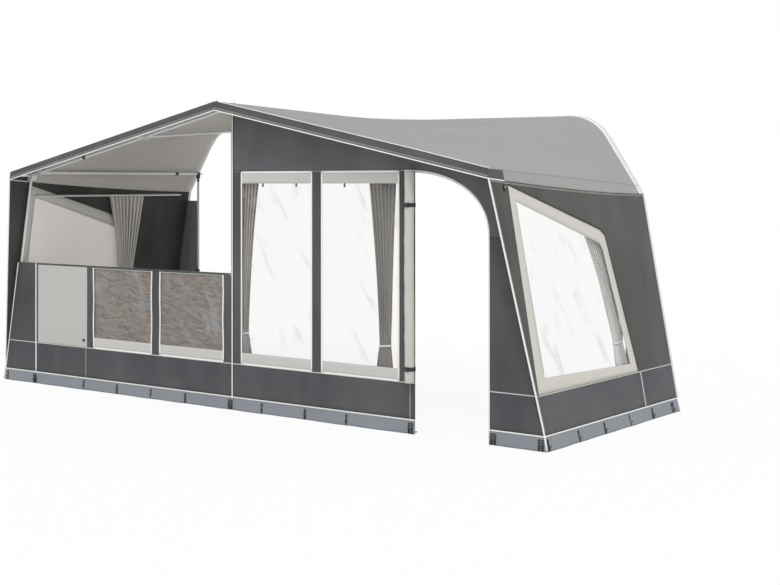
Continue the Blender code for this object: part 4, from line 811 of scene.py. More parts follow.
def make_roof(shape):
    """Roof cloth: the ruled surface, sagging between the poles, with a lining face.

    The sag is sine-shaped from the gable to the rail, and fades to nothing at the poles.
    """
    half = lines_between(0.0, 0.72, 0.86, 1.0, step=0.0125)
    down = lines_between(1.0, 2.0, step=0.1)[1:]
    share = np.concatenate([-down[::-1], -half[:0:-1], half, down])
    gable_y, rail_y, poles = -0.93, REAR_Y - 0.05, (0.0, 1.07, 2.50)
    y = lines_between(CANOPY_Y + 0.0033, CANOPY_SEAM_Y, FRONT_Y - HAIR, gable_y, BEAD_SEAM_Y, CLOTH_REAR_Y,
                      step=0.045)
    across, along = np.meshgrid(share, y)
    outer = roof_points(across, along)
    outer[..., 2] += np.where(np.abs(across) > 1.9999, 0.0002, 0.0)
    place = np.abs(outer[..., 0])
    reach = np.clip((along - gable_y) / (rail_y - gable_y), 0, 1)
    bays = calm(place, poles, 0.20) * np.clip((2.66 - place) / 0.25, 0, 1)
    sag = -shape.sag * np.sin(np.pi * reach) ** 0.8 * bays
    pull = 0.0016 * ripples(outer[..., 0] * 1.7, along * 2.3, 1.3) * bays * np.sin(np.pi * reach)
    outer[..., 2] += np.where(np.abs(across) <= 1, sag + pull, 0.0)
    normal = np.cross(np.gradient(outer, axis=1), np.gradient(outer, axis=0))
    normal /= np.linalg.norm(normal, axis=-1)[..., None]
    normal *= np.sign(normal[..., 2:3] + 1e-9)
    steep = np.abs(across) > 1.05
    normal[steep] = np.stack([np.sign(across) * math.cos(math.atan(LEAN)), 0 * across,
                              np.full_like(across, math.sin(math.atan(LEAN)))], -1)[steep]
    inner = outer - normal * CLOTH
    inner[..., 2] = np.maximum(inner[..., 2], seam_z(along) + HAIR)
    skip = (middles(y) < FRONT_Y)[:, None] & (middles(np.abs(share)) > 1)
    uv = np.stack([across * 2.7, along], -1)
    cloths = finishes("roof", "lining", "dark", "trim")
    piece = sheet_object("roof_cloth", outer, inner, cloths, skip=skip, uv=uv)

    def choose(centres, slots):
        slots = np.where((slots == 0) & (centres[:, 1] < CANOPY_SEAM_Y), 2, slots)
        return np.where((slots == 0) & (centres[:, 1] > BEAD_SEAM_Y), 3, slots)
    paint(piece, choose)
    root(piece, "roof", slot="roof_cloth")
    declare(outer, skip)


def fascia_points(along, up, lift=0.0):
    """Points of the fascia: along runs -2 to 2 with the corners at -1 and 1, up from 0 to 1."""
    side, run = np.sign(along), np.abs(along)
    back = CANOPY_Y + np.clip(run - 1, 0, 1) * (FRONT_Y - HAIR - CANOPY_Y)
    fold, seam = roof_at(1.0, back), roof_at(2.0, back)
    turn = np.clip(run, 0, 1)
    high_x, low_x = turn * side_x(EAVE), turn * side_x(EAVE - FASCIA)
    low_z = PEAK - (PEAK - EAVE) * turn - FASCIA
    x = np.where(run <= 1, low_x + (high_x - low_x) * up, seam[..., 0] + (fold[..., 0] - seam[..., 0]) * up)
    z = np.where(run <= 1, low_z + FASCIA * up, seam[..., 1] + (fold[..., 1] - seam[..., 1]) * up)
    return np.stack([side * (x - lift * (run > 1)), back + lift * (run <= 1), z - 0.0004 * up], -1)


def make_fascia():
    """Dark band along the gable, turned back round both eave corners."""
    front = lines_between(0.0, 1.0, step=0.02)
    back = lines_between(1.0, 2.0, step=0.125)[1:]
    share = np.concatenate([-back[::-1], -front[:0:-1], front, back])
    across, up = np.meshgrid(share, np.linspace(0, 1, 6))
    outer, inner = fascia_points(across, up), fascia_points(across, up, CLOTH * 0.8)
    swell = 0.0022 * np.abs(ripples(outer[..., 0] * 1.3, outer[..., 2], 0.4)) * (1 - up)
    swell = swell * (np.abs(across) < 0.97)
    outer[..., 1] += swell
    inner[..., 1] += swell
    uv = np.stack([across * 2.6, up * FASCIA], -1)
    piece = sheet_object("canopy_band", outer, inner, finishes("band", "inside"), uv=uv)
    root(piece, "canopy_fascia", slot="dark_cloth")
    declare(outer)


# Side walls -------------------------------------------------------------


def polyline_at(corners, share):
    """Points at shares of a polyline's length."""
    corners = np.asarray(corners, float)
    runs = run_lengths(corners)
    return np.stack([np.interp(share * runs[-1], runs, corners[:, k]) for k in range(2)], -1)


def leading(z):
    """How far a side wall reaches in front of the front wall: a straight slanting edge."""
    return (CANOPY_Y - FRONT_Y) * (np.asarray(z, float) - FLAP) / (EAVE - FASCIA - FLAP)


def side_grid():
    """Grid of a side wall as (back, z), with its lines on the window's outline, and the window's cells.

    Four lines run from the leading edge to the rear (foot, sill, window top, seam), each
    with stops over the window's ends, and rows between them are straight blends.
    """
    low_front, low_rear, top_rear, top_bend, top_front = SIDE_FRAME
    nose, top_z = -0.2097, top_front[1]
    columns, rows = (2, 52, 21), (9, 46, 7)
    feet = ((leading(FLAP), low_front[0]), (low_front[0], low_rear[0]), (low_rear[0], WALL_LENGTH))
    sills = ((leading(SILL), low_front[0]), *feet[1:])
    heads = (((leading(top_z), top_z), top_front), (top_front, top_bend, top_rear),
             (top_rear, (WALL_LENGTH, top_rear[1])))
    seams = ((nose, top_front[0]), (top_front[0], top_rear[0]), (top_rear[0], WALL_LENGTH))
    stretches = []
    for count, head, *ends in zip(columns, heads, feet, sills, seams):
        share = np.linspace(0, 1, count + 1)
        foot, sill, seam = (near + (far - near) * share for near, far in ends)
        stretches.append((np.stack([foot, np.full_like(share, FLAP + 0.0002)], -1),
                          np.stack([sill, np.full_like(share, SILL)], -1), polyline_at(head, share),
                          np.stack([seam, seam_z(FRONT_Y + seam) - 0.0002], -1)))
    lines = [np.concatenate([one[:-1], two[:-1], three]) for one, two, three in zip(*stretches)]
    blocks = [low + (high - low) * np.linspace(0, 1, count + 1)[:, None, None]
              for low, high, count in zip(lines, lines[1:], rows)]
    grid = np.concatenate([blocks[0][:-1], blocks[1][:-1], blocks[2]])
    skip = np.zeros((grid.shape[0] - 1, grid.shape[1] - 1), bool)
    skip[rows[0]:rows[0] + rows[1], columns[0]:columns[0] + columns[1]] = True
    return grid[..., 0], grid[..., 1], skip


def pane_grid(corners, rows, columns, grow=0.0):
    """Grid over a side pane: straight blends from its foot to its bent top edge."""
    corners = np.asarray(corners, float)
    middle = corners.mean(0)
    corners = middle + (corners - middle) * (1 + grow)
    share = np.linspace(0, 1, columns)
    foot, head = polyline_at(corners[:2], share), polyline_at(corners[:1:-1], share)
    up = np.linspace(0, 1, rows)[:, None, None]
    grid = foot[None] + (head - foot)[None] * up
    return grid[..., 0], grid[..., 1]


def side_border_paths(side):
    """Closed paths of the side window's border (outer and inner edge, face and back), and its UV map."""
    share = np.arange(24)[None, :, None] / 24
    frame, pane = ((corners[:, None] + (np.roll(corners, -1, 0) - corners)[:, None] * share).reshape(-1, 2)
                   for corners in (np.array(SIDE_FRAME), np.array(SIDE_PANE)))
    paths, flat = [], []
    for inwards, depth in ((0.0, 0.0), (0.33, 0.0006), (0.66, -0.0004), (1.0, 0.0), (1.0, 0.0022),
                           (0.5, 0.0026), (0.0, 0.0022)):
        flat.append(frame + (pane - frame) * inwards)
        back, z = flat[-1].T
        wave = 0.0009 * np.sin(9 * back + 7 * z) * np.sin(np.pi * inwards)
        paths.append(on_side(side, back, z, depth + wave))
    return paths, np.concatenate(flat)


def make_side_walls(shape):
    """Side walls with their window, track and buckle, on both sides."""
    back, z, skip = side_grid()
    for side, word in ((LEFT, "left"), (RIGHT, "right")):
        spot, axes = on_wall(side), wall_axes(side)
        cloths = finishes("side", "inside", "side_skirt")
        wall, grid = panel(f"side_cloth_{word}", back, z, spot, cloths, shape.swell, 0.7 + side,
                           (0.0, SIDE_SEAM), (FLAP, SILL, 1.90), skip=skip, quiet=0.12)
        paint(wall, low_faces(SILL))
        root(wall, f"side_wall_{word}", slot="side_cloth")
        declare(grid, skip)

        paths, uv = side_border_paths(side)
        border = ring_object(f"side_window_border_{word}", paths, finishes("border"), uv=uv)
        root(border, f"side_window_{word}", slot="pale_border")

        across, up = pane_grid(SIDE_PANE, 60, 60, 0.008)
        # On the left the pane's cloth is lightened by painted light shining through it.
        glass, grid = panel(f"side_window_film_{word}", across, up, spot,
                            finishes("film" if side == RIGHT else "screen_painted_backlight"), shape.film, 1.9 + side,
                            (0.12, 1.44), (0.50, 1.86), base=0.0030, thick=0.0008, slots=(0, 0, 0),
                            field=film_waves)
        root(glass, f"side_window_{word}", slot="window_film")
        declare(grid)

        for name, places, sizes, kind, bevel, nodes, slot in (
                ("side_track", [(1.045, 1.771, 0.0305)], [(0.053, 1.89, 0.012)], "track", 0.0015,
                 [f"side_wall_{word}"], "white_trim"),
                ("corner_buckle", [(-0.019, 1.850, -0.004), (-0.019, 1.850, -0.0085)],
                 [(0.007, 0.030, 0.045), (0.003, 0.020, 0.026)], "plastic", 0.002, [f"side_wall_{word}"],
                 "black_plastic"),
                ("buckle_stud", [(-0.019, 1.856, -0.0102)], [(0.002, 0.009, 0.009)], "trim", 0.0009, [],
                 "white_trim")):
            fitting = blocks_object(f"{name}_{word}", [on_side(side, *place) for place in places], sizes,
                                    [axes] * len(sizes), FINISH[kind], bevel)
            root(fitting, *nodes, slot=slot)


# Front ------------------------------------------------------------------


def arch_z(x):
    """Height of the doorway's arch: a superellipse from the straight head down to the jamb."""
    share = np.clip((np.asarray(x, float) - ARCH_START) / (DOOR_JAMB - ARCH_START), 0, 1)
    return ARCH_SPRING + (WINDOW_TOP + 0.004 - ARCH_SPRING) * (1 - share ** ARCH_POWER) ** (1 / ARCH_POWER)


def under_roof(x, drop=0.0045):
    """Height just under the roof along the front wall."""
    share = np.linspace(0, 1, 200)
    line_points = roof_at(share, FRONT_Y)
    return np.interp(np.abs(x), line_points[:, 0], line_points[:, 1]) - drop


def inside_x(z):
    """Distance of a side wall's inner face from the middle."""
    return side_x(np.asarray(z, float)) - CLOTH * math.hypot(1, LEAN) - HAIR


def make_front_panels(shape):
    """Zipped panels of both halves and the panel beside the doorway."""
    cloths = finishes("dark", "inside", "skirt", "bay")
    x = lines_between(HAIR, *WINDOW_EDGES, DOOR_EDGE, step=0.03)
    z = lines_between(FLAP + HAIR, SILL, WINDOW_TOP, WINDOW_TOP + 0.0035, step=0.03)
    across, up = np.meshgrid(x, z)
    up = np.where(across > ARCH_START, np.minimum(up, arch_z(across) - 0.0005), up)
    middle = middles(z)[:, None]
    skip = (middle > SILL) & (middle < WINDOW_TOP) & in_windows(middles(x), WINDOW_EDGES)
    right, grid = panel("front_cloth_right", across, up, on_front, cloths, shape.swell, 2.4,
                        (0.0, *WINDOW_EDGES, DOOR_EDGE), (FLAP, SILL, WINDOW_TOP), skip=skip)
    paint(right, low_faces(SILL))
    root(right, "front_panel_right", slot="dark_cloth")
    declare(grid, skip)

    edges = [-edge for edge in reversed(WINDOW_EDGES)]
    x = lines_between(-CORNER_X, -FOLD_END, -BAY_EDGE, *edges, -HAIR, step=0.03)
    z = lines_between(FLAP + HAIR, SILL, RAIL_Z - 0.004, RAIL_Z, WAIST, step=0.03)
    across, up = np.meshgrid(x, z)
    free = np.clip((across + FOLD_END) / (FOLD_END - CORNER_X), 0, 1)
    across = across + (CORNER_X - inside_x(up)) * free
    middle = middles(z)[:, None]
    skip = (middle > SILL) & (middle < RAIL_Z - 0.004) & in_windows(middles(x), edges)
    skip |= (middle > RAIL_Z) & (middles(x) > -FOLD_END)
    left, grid = panel("front_cloth_left", across, up, on_front, cloths, shape.swell, 4.1,
                       (-BAY_EDGE, *edges, 0.0), (FLAP, SILL, RAIL_Z), skip=skip)

    def choose(centres, slots):
        x, z = centres[:, 0], centres[:, 2]
        slots = low_faces(SILL)(centres, slots)
        return np.where((slots == 0) & (x > -2.50) & (x < -1.825) & (z > SILL), 3, slots)
    paint(left, choose)
    root(left, "front_panel_left", slot="dark_cloth")
    declare(grid, skip)

    z = lines_between(FLAP + HAIR, SILL, ARCH_SPRING - HAIR, step=0.03)
    share, up = np.meshgrid(np.linspace(0, 1, 18), z)
    across = DOOR_JAMB + HAIR + (inside_x(up) - DOOR_JAMB) * share
    corner, grid = panel("front_cloth_corner", across, up, on_front, cloths, shape.swell, 5.2, (DOOR_JAMB,),
                         (FLAP, SILL), quiet=0.12)
    paint(corner, low_faces(SILL))
    root(corner, "front_panel_corner", slot="dark_cloth")
    declare(grid)


def make_header(shape):
    """Dark panel over windows and doorway, with the curtain track and its gliders behind it.

    Columns run straight from the head of the windows, or the arch, up to the roof's
    underside; past the jamb they fan out to the side wall.
    """
    x = lines_between(HAIR, ARCH_START, DOOR_JAMB - 0.03, DOOR_JAMB, step=0.03)
    x = np.concatenate([x[x < DOOR_JAMB - 0.031], DOOR_JAMB - 0.03 * np.linspace(1, 0, 9) ** 2])
    fan = np.linspace(0, 1, 9)[1:]
    foot = np.stack([x, np.where(x < ARCH_START, WINDOW_TOP + 0.0043, arch_z(x))], -1)
    foot_fan = DOOR_JAMB + (inside_x(ARCH_SPRING) - DOOR_JAMB) * fan
    foot_fan = np.stack([foot_fan, np.full_like(fan, ARCH_SPRING)], -1)
    head = np.stack([x, under_roof(x)], -1)
    seam = float(seam_z(FRONT_Y)) - 0.004
    fold = roof_at(1.0, FRONT_Y)
    corner = ((DOOR_JAMB, float(under_roof(DOOR_JAMB))), (fold[0] - 0.006, fold[1] - 0.0055),
              (inside_x(seam), seam))
    foot, head = np.concatenate([foot, foot_fan]), np.concatenate([head, polyline_at(corner, fan)])
    grid = foot + (head - foot) * np.linspace(0, 1, 22)[:, None, None]
    # This panel's cloth is the dark cloth made lighter: painted light.
    cloths = finishes("header", "inside")
    header, points = panel("front_header_cloth", grid[..., 0], grid[..., 1], on_front, cloths,
                           shape.swell * 0.8, 3.3, (0.0,), (WINDOW_TOP,), quiet=0.12)
    root(header, "front_header", slot="dark_cloth")
    declare(points)

    start, end = 0.060, 1.765
    track = blocks_object("front_track", [(start + (end - start) / 2, FRONT_Y + 0.031, 1.993)],
                          [(end - start, 0.053, 0.012)], [STRAIGHT], FINISH["track"], 0.0015)
    root(track, "front_header", slot="white_trim")
    places = [(x, FRONT_Y + 0.0130, 1.8715 + 0.003 * math.sin(40 * x)) for x in (0.330, 0.690, 1.185, 1.570)]
    hooks = blocks_object("curtain_hooks", places, [(0.018, 0.006, 0.036)] * 4, [STRAIGHT] * 4,
                          FINISH["plastic"], 0.003)
    root(hooks, slot="black_plastic")
    cords = [line((x, y, z + 0.014), (x, y, 1.988), 0.02) for x, y, z in places]
    root(tubes_object("hook_tapes", cords, 0.0022, FINISH["webbing"], 6), slot="dark_cloth")


def window_set(name, low, high, top, strip, seed, shape, clear_top):
    """One front window: a border sheet with pale strips above and below, and its film."""
    foot, head, rim = SILL + STRIP, top - strip, 0.006
    full = low > 0
    x = lines_between(low, low + rim, high - rim, high, step=0.025)
    z = lines_between(SILL, foot, head, top, step=0.025)
    across, up = np.meshgrid(x, z)
    middle_x, middle_z = np.meshgrid(middles(x), middles(z))
    skip = (middle_z > foot) & (middle_z < head) & (middle_x > low + rim) & (middle_x < high - rim)
    border, grid = panel(f"{name}_border", across, up, on_front, finishes("strip", "inside"), 0.0016, seed,
                         (low, high), (SILL, top), skip=skip, quiet=0.03, thick=0.0016)
    root(border, name, slot="pale_border")
    declare(grid, skip)
    across, up = np.meshgrid(np.linspace(low + 0.002, high - 0.002, 46),
                             np.linspace(foot - 0.006, head + clear_top, int((head - foot) / 0.02)))
    waves, base = (shape.film, 0.0030) if full else (0.0005, 0.0008)
    glass, grid = panel(f"{name}_film", across, up, on_front, finishes("film"), waves, seed + 1.1,
                        (low, high), (foot, head), base=base, thick=0.0008, slots=(0, 0, 0),
                        field=film_waves, quiet=0.05)
    root(glass, name, slot="window_film")
    declare(grid)


def make_front_windows(shape):
    """Two full windows on the right half, and the two cut-off ones under the veranda's fold."""
    for number, (near, far) in enumerate((WINDOW_EDGES[:2], WINDOW_EDGES[2:]), 1):
        window_set(f"front_window_{number}", near, far, WINDOW_TOP, STRIP, number * 1.7, shape, 0.006)
        window_set(f"veranda_window_{number}", -far, -near, RAIL_Z - 0.004, 0.004, number * 2.9, shape, 0.0)


# Veranda ----------------------------------------------------------------


def make_veranda():
    """Blind behind the cut-off windows, and the upper panel folded in over the rail."""
    x = np.linspace(-WINDOW_EDGES[3], -WINDOW_EDGES[0], 110)
    z = np.linspace(SILL, RAIL_Z - 0.0130, 120)
    across, up = np.meshgrid(x, z)
    blind, grid = panel("veranda_blind_cloth", across, up, on_front, finishes("taupe", "lining", "strip"),
                        -0.0060, 0.9, (x[0], x[-1]), (z[0], z[-1]), base=0.0115, field=blind_folds,
                        quiet=0.03)
    paint(blind, low_faces(0.470))
    root(blind, "veranda_blind", slot="taupe_cloth")
    declare(grid)

    turn = np.linspace(0, np.pi, 13)
    hang = RAIL_Z - (WINDOW_TOP - WAIST)
    outside, reach = 0.0158, 0.0129
    axis_y = FRONT_Y + outside
    drop = np.linspace(RAIL_Z, hang, 44)[1:]
    x = np.linspace(-FOLD_END + 0.003, -0.030, 90)
    share = np.concatenate([0 * turn, (RAIL_Z - drop) / (RAIL_Z - hang)])[:, None]
    wave = share ** 0.7 * (1 + np.sin(7 * x + 3 * share)) * 0.010 + share * 0.004 * np.abs(np.sin(19 * x))

    def profile(radius):
        y = np.concatenate([axis_y - radius * np.cos(turn), np.full_like(drop, axis_y + radius)])
        z = np.concatenate([RAIL_Z + radius * np.sin(turn), drop])
        return np.stack(np.broadcast_arrays(x, y[:, None] + wave, z[:, None]), -1)
    outer = profile(outside)
    uv = np.stack(np.broadcast_arrays(x[None, :], np.linspace(0, 0.9, len(outer))[:, None]), -1)
    fold = sheet_object("veranda_fold_cloth", outer, profile(reach), finishes("dark", "inside"), uv=uv)
    root(fold, "veranda_fold", slot="dark_cloth")
    declare(outer)


def blind_folds(across, up, seed):
    """Level folds of a blind that lies in slack loops: a sharpened sine over height."""
    phase = 2 * np.pi * up / 0.165 + 0.35 * np.sin(2.2 * across + seed) + 0.2 * np.sin(5.3 * across)
    return np.abs(np.sin(phase / 2)) ** 0.7 + 0.12 * np.sin(23 * up + 6 * across)


# Doorway ----------------------------------------------------------------


def make_door():
    """The door panel, rolled up in three turns and drawn in under two straps.

    Radius grows with the turn from the core to the outside; between the straps the
    outer turn swells a little on the side away from the wall, with slanting wrinkles.
    """
    roll_x, roll_y, radius, core, turns = 1.855, -1.0344, 0.042, 0.010, 3
    straps = {"lower": 0.497, "upper": 1.722}
    angle = np.linspace(0, 2 * np.pi * turns, 36 * turns + 1)
    z = np.linspace(SILL + 0.0005, WINDOW_TOP - 0.0005, 130)
    up = z[:, None]
    free = calm(up, straps.values(), 0.045)
    wide = core + (radius - core) * angle / angle[-1]
    face = np.clip(0.35 - 0.65 * np.sin(angle), 0, 1)
    late = np.clip(angle / (2 * np.pi) - 1.4, 0, 1)
    wrinkle = 0.5 + 0.3 * np.sin(26 * up + 2.0 * angle) + 0.2 * np.sin(61 * up - 3 * angle)
    swell = 0.0042 * free * face * late * wrinkle
    lean = 0.0020 * np.sin(3.1 * up + 0.6) * free

    def spiral(depth):
        r = wide + swell - depth
        return np.stack(np.broadcast_arrays(roll_x + r * np.cos(angle) + lean,
                                            roll_y + r * np.sin(angle) - np.abs(lean) * 0.5, up), -1)
    outer = spiral(0.0)
    roll = sheet_object("door_roll_cloth", outer, spiral(0.0042), finishes("roll", "dark"),
                        uv=unrolled(outer[0], z))
    root(roll, "door_roll", slot="pale_border")
    declare(outer)
    for word, height in straps.items():
        clip = blocks_object(f"door_strap_clip_{word}", [(roll_x + 0.010, roll_y - 0.0465, height)],
                             [(0.024, 0.006, 0.034)], [STRAIGHT], FINISH["plastic"], 0.002)
        root(clip, slot="black_plastic")


# Hem --------------------------------------------------------------------


def ladder_blocks(spot, axes, rung):
    """Centre, size and axes of each block of a peg ladder: two rails and five rungs.

    spot gives the point at a shift across and a height; rung is the size of a rung.
    """
    rails = [(spot(shift, 0.046), (0.0045, 0.0045, 0.082), axes) for shift in (-0.0075, 0.0075)]
    return rails + [(spot(0.0, height), rung, axes) for height in (0.008, 0.026, 0.044, 0.062, 0.080)]


def make_hem():
    """Mud flaps with their draught panels, rubber peg ladders and pegs."""
    ladders = {LEFT: (-2.943, -2.556, -BAY_EDGE, PLUG_X, -1.406, -0.972, -0.548, -0.034, -0.006, 0.332, 0.793,
                      1.215, 1.818, 1.846),
               RIGHT: (2.550, 2.578, 2.946, 2.974)}
    sides = (0.03, 0.47, 0.87, 1.28, 1.68, 2.032, 2.060)
    z = np.linspace(0.0004, FLAP - 0.0006, 9)
    limp = 0.012 * ((FLAP - z) / FLAP)[:, None] ** 1.3
    for side, word, end in ((LEFT, "left", DOOR_EDGE), (RIGHT, "right", DOOR_JAMB)):
        front = lines_between(end, side * (side_x(0) - 0.02), step=0.02)
        rear = lines_between(0.02, WALL_LENGTH, step=0.02)
        front_swing = np.abs(np.sin(7.3 * front) * np.sin(2.9 * front + 1.2)) * limp
        side_swing = np.abs(np.sin(8.1 * rear) * np.sin(3.3 * rear + 0.6)) * limp * np.clip(rear / 0.1, 0, 1)
        outer, inner = (np.concatenate([
            on_front(front, z[:, None], thick - front_swing),
            np.stack([side * (side_x(z) - inset), np.full_like(z, FRONT_Y + inset), z], -1)[:, None],
            on_side(side, rear, z[:, None], thick - side_swing)], 1)
            for thick, inset in ((0.0, 0.004), (0.0022, 0.0075)))
        flap = sheet_object(f"mud_flap_cloth_{word}", outer, inner, finishes("flap", "flap"),
                            uv=unrolled(outer[-1], z))
        root(flap, f"mud_flap_{word}", slot="flap_pvc")
        declare(outer)

        share, up = np.meshgrid(np.linspace(0, 1, 14), np.linspace(0.002, 1.700, 70))
        near = 2.522
        across = side * (near + (side_x(up) - 0.006 - near) * share)
        arc = np.sin(np.pi * share)
        sway = 0.004 * ripples(share * 2, up * 2, 2.0 + side) * arc - 0.012 * arc ** 2
        outer = np.stack([across, REAR_Y - 0.034 + sway, up], -1)
        draught = sheet_object(f"draught_panel_{word}", outer, outer + (0, 0.0026, 0),
                               finishes("flap", "flap"), uv=np.stack([across, up], -1))
        root(draught, f"mud_flap_{word}", slot="flap_pvc")
        declare(outer)

        blocks = []
        for place in ladders[side]:
            blocks += ladder_blocks(lambda shift, height: (place + shift, FRONT_Y - 0.0035, height), STRAIGHT,
                                    (0.015, 0.004, 0.0075))
        for back in sides:
            blocks += ladder_blocks(lambda shift, height: on_side(side, back + shift, height, -0.0035),
                                    wall_axes(side), (0.004, 0.015, 0.0075))
        ladder = blocks_object(f"peg_ladders_{word}", *zip(*blocks), FINISH["rubber"], 0.0009)
        root(ladder, f"mud_flap_{word}", slot="black_plastic")
        root(pegs_object(side, word, ladders[side], sides), slot="black_plastic")


def pegs_object(side, word, fronts, sides):
    """Pegs that hold the ladders: a shank that slants into the ground and a hooked head."""
    paths = []
    bend = np.linspace(0, np.pi, 7)[:6]
    for place in fronts:
        foot = np.array([place, FRONT_Y - 0.0085, 0.0])
        hook = [foot + (0, -0.007 + 0.007 * math.cos(a), 0.034 + 0.007 * math.sin(a)) for a in bend]
        paths.append([foot + (0, 0.001, 0.003)] + hook)
    for back in sides:
        foot = on_side(side, back, 0.0, -0.0085)
        hook = [foot + (side * (0.007 - 0.007 * math.cos(a)), 0, 0.034 + 0.007 * math.sin(a)) for a in bend]
        paths.append([foot + (0, 0, 0.003)] + hook)
    return tubes_object(f"pegs_{word}", paths, 0.0030, FINISH["plastic"], 6)


# Curtains ---------------------------------------------------------------


def gather(word, spans, top, spot, kind, folds, seed):
    """A gathered curtain drawn in by its tie: folds are sines across, its edges eased between three widths.

    Above the tie the width grows with the power 1.6 of the height over it, below it eases out.
    """
    name, rider, tie_name = f"curtain_cloth_{word}", f"curtain_{word}", f"tie_{word}_band"
    low, tie, middle_depth, reach = 0.430, 0.640, 0.038, 0.0145
    z = np.linspace(low, top, 90)
    up = np.clip((z - tie) / (top - tie), 0, 1) ** 1.6
    down = np.clip((tie - z) / (tie - low), 0, 1) ** 0.8
    head, waist, foot = spans
    near, far = (np.where(z >= tie, waist[k] + (head[k] - waist[k]) * up,
                          waist[k] + (foot[k] - waist[k]) * down)[:, None] for k in (0, 1))
    share = np.linspace(0, 1, folds * 14 + 1)
    loose = (0.45 + 0.55 * np.minimum(1, np.abs(z - tie) / 0.25))[:, None]
    phase = 2 * np.pi * folds * share + 0.5 * np.sin(2.4 * z + seed)[:, None]
    deep = 0.010 * np.sin(phase) + 0.0035 * np.sin(1.9 * phase + seed + 1.3 * z[:, None])
    depth = middle_depth + deep * loose
    bulge = 0.0035 * np.sin(2 * phase + 0.8) * loose * np.sign(head[1] - head[0])
    across = near + (far - near) * share + bulge
    outer, inner = (spot(across, z[:, None], depth + half) for half in (-0.0008, 0.0008))
    curtain = sheet_object(name, outer, inner, finishes(kind), (0, 0, 0), uv=unrolled(outer[-1], z))
    root(curtain, rider, body=rider, slot="curtain_cloth")
    declare(outer)
    middle, half = sum(waist) / 2, abs(waist[1] - waist[0]) / 2 + 0.004
    angle = np.linspace(0, 2 * np.pi, 48, endpoint=False)
    squash = np.sign(np.cos(angle)) * np.abs(np.cos(angle)) ** 0.6
    paths = [spot(middle + (half + out) * squash, tie + rise + 0.006 * squash,
                  middle_depth + (reach + out) * np.sin(angle))
             for out, rise in ((0.0, -0.008), (0.0, 0.008), (0.0016, 0.006), (0.0016, -0.006))]
    band = ring_object(tie_name, paths, finishes("tie"))
    root(band, rider, body=rider, slot="pale_border")


def make_curtains():
    """Four tied-back curtains: two behind the front windows and one at each side window."""
    front_top = float(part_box("curtain_centre")[1][2])
    side_top = float(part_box("curtain_right")[1][2])
    gather("centre", ((0.042, 0.285), (0.044, 0.148), (0.044, 0.188)), front_top, on_front, "curtain", 7, 0.3)
    gather("door", ((1.672, 1.400), (1.620, 1.512), (1.640, 1.480)), front_top, on_front, "curtain", 7, 1.8)
    for side, word in ((LEFT, "left"), (RIGHT, "right")):
        gather(word, ((1.480, 1.020), (1.440, 1.290), (1.470, 1.270)), side_top, on_wall(side),
               "side_curtain_painted_light", 9, 2.6 + side)


# Trim -------------------------------------------------------------------


def piping(name, paths, radius, kind, sides=8, flat=1.0):
    """Piping, seams or tapes along paths as one piece, hung on the root body; the slot that goes with their
    finish is looked up but not set.
    """
    slots = {"trim": "white_trim", "zip": "white_trim", "dark": "dark_cloth", "webbing": "dark_cloth",
             "border": "pale_border", "roof": "roof_cloth", "steel": "steel_tube", "rubber": "black_plastic"}
    root(tubes_object(name, paths, radius, FINISH[kind], sides, flat), slot=slots[kind])


def front_line(start, end, out=0.001, step=0.05):
    """A straight line just in front of the front wall, between two places (x, z)."""
    return line((start[0], FRONT_Y - out, start[1]), (end[0], FRONT_Y - out, end[1]), step)


def window_lines():
    """Lines round the front windows; those of the cut-off windows waver with their cloth."""
    lines = [front_line((x, SILL), (x, WINDOW_TOP)) for x in WINDOW_EDGES]
    for x in WINDOW_EDGES:
        wave = front_line((-x, SILL), (-x, RAIL_Z - 0.002), step=0.03)
        wave[:, 0] += 0.0028 * np.sin(14 * wave[:, 2] + 5 * x)
        lines.append(wave)
    for low, high in (WINDOW_EDGES[:2], WINDOW_EDGES[2:]):
        lines += [front_line((low, SILL), (high, SILL)), front_line((low, WINDOW_TOP), (high, WINDOW_TOP)),
                  front_line((-high, SILL), (-low, SILL))]
    return lines


def stitch_lines():
    """Double rows of stitches: leading edges, side seams, roof seams, front seams and the gable."""
    rows = []
    for side in (LEFT, RIGHT):
        for shift in (0.014, 0.020):
            heights = np.linspace(0.14, 1.90, 70)
            rows.append(on_side(side, leading(heights) + shift, heights, -0.0004))
        for shift in (0.0, 0.012):
            rows.append(on_side(side, SIDE_SEAM + shift, np.linspace(0.115, SILL - 0.012, 20), -0.0004))
        for shift in (0.012, 0.019):
            back = np.linspace(-0.19, WALL_LENGTH, 70)
            rows.append(on_side(side, back, seam_z(FRONT_Y + back) - shift, -0.0004))
    for x in (-1.830, DOOR_EDGE - 0.050):
        for shift in (0.0, 0.008):
            rows.append(front_line((x + shift, 0.114), (x + shift, SILL - 0.012), 0.0006))
    share = lines_between(-1.0, 0.0, 1.0, step=0.03)
    for shift in (0.012, 0.020):
        rows.append(np.stack([share * side_x(EAVE - FASCIA), np.full_like(share, CANOPY_Y - 0.0006),
                              PEAK - (PEAK - EAVE) * np.abs(share) - FASCIA + shift], -1))
    return rows


def eyelet_rims():
    """Rings on the roof where the pins of the poles come through."""
    rims, radius = [], 0.0085
    bend, share = np.linspace(0, 2 * np.pi, 17), np.linspace(0, 1, 90)
    for x in (-2.6235, 0.0, 2.6235):
        for y in (CANOPY_Y + 0.0273, -0.966):
            height = float(roof_at(np.interp(abs(x), roof_at(share, y)[:, 0], share), y)[1])
            dip = radius * np.abs(np.cos(bend)) * 0.1 * abs(x) / side_x(EAVE)
            rims.append(np.stack([x + radius * np.cos(bend), y + radius * np.sin(bend),
                                  height + 0.0015 - dip], -1))
    return rims


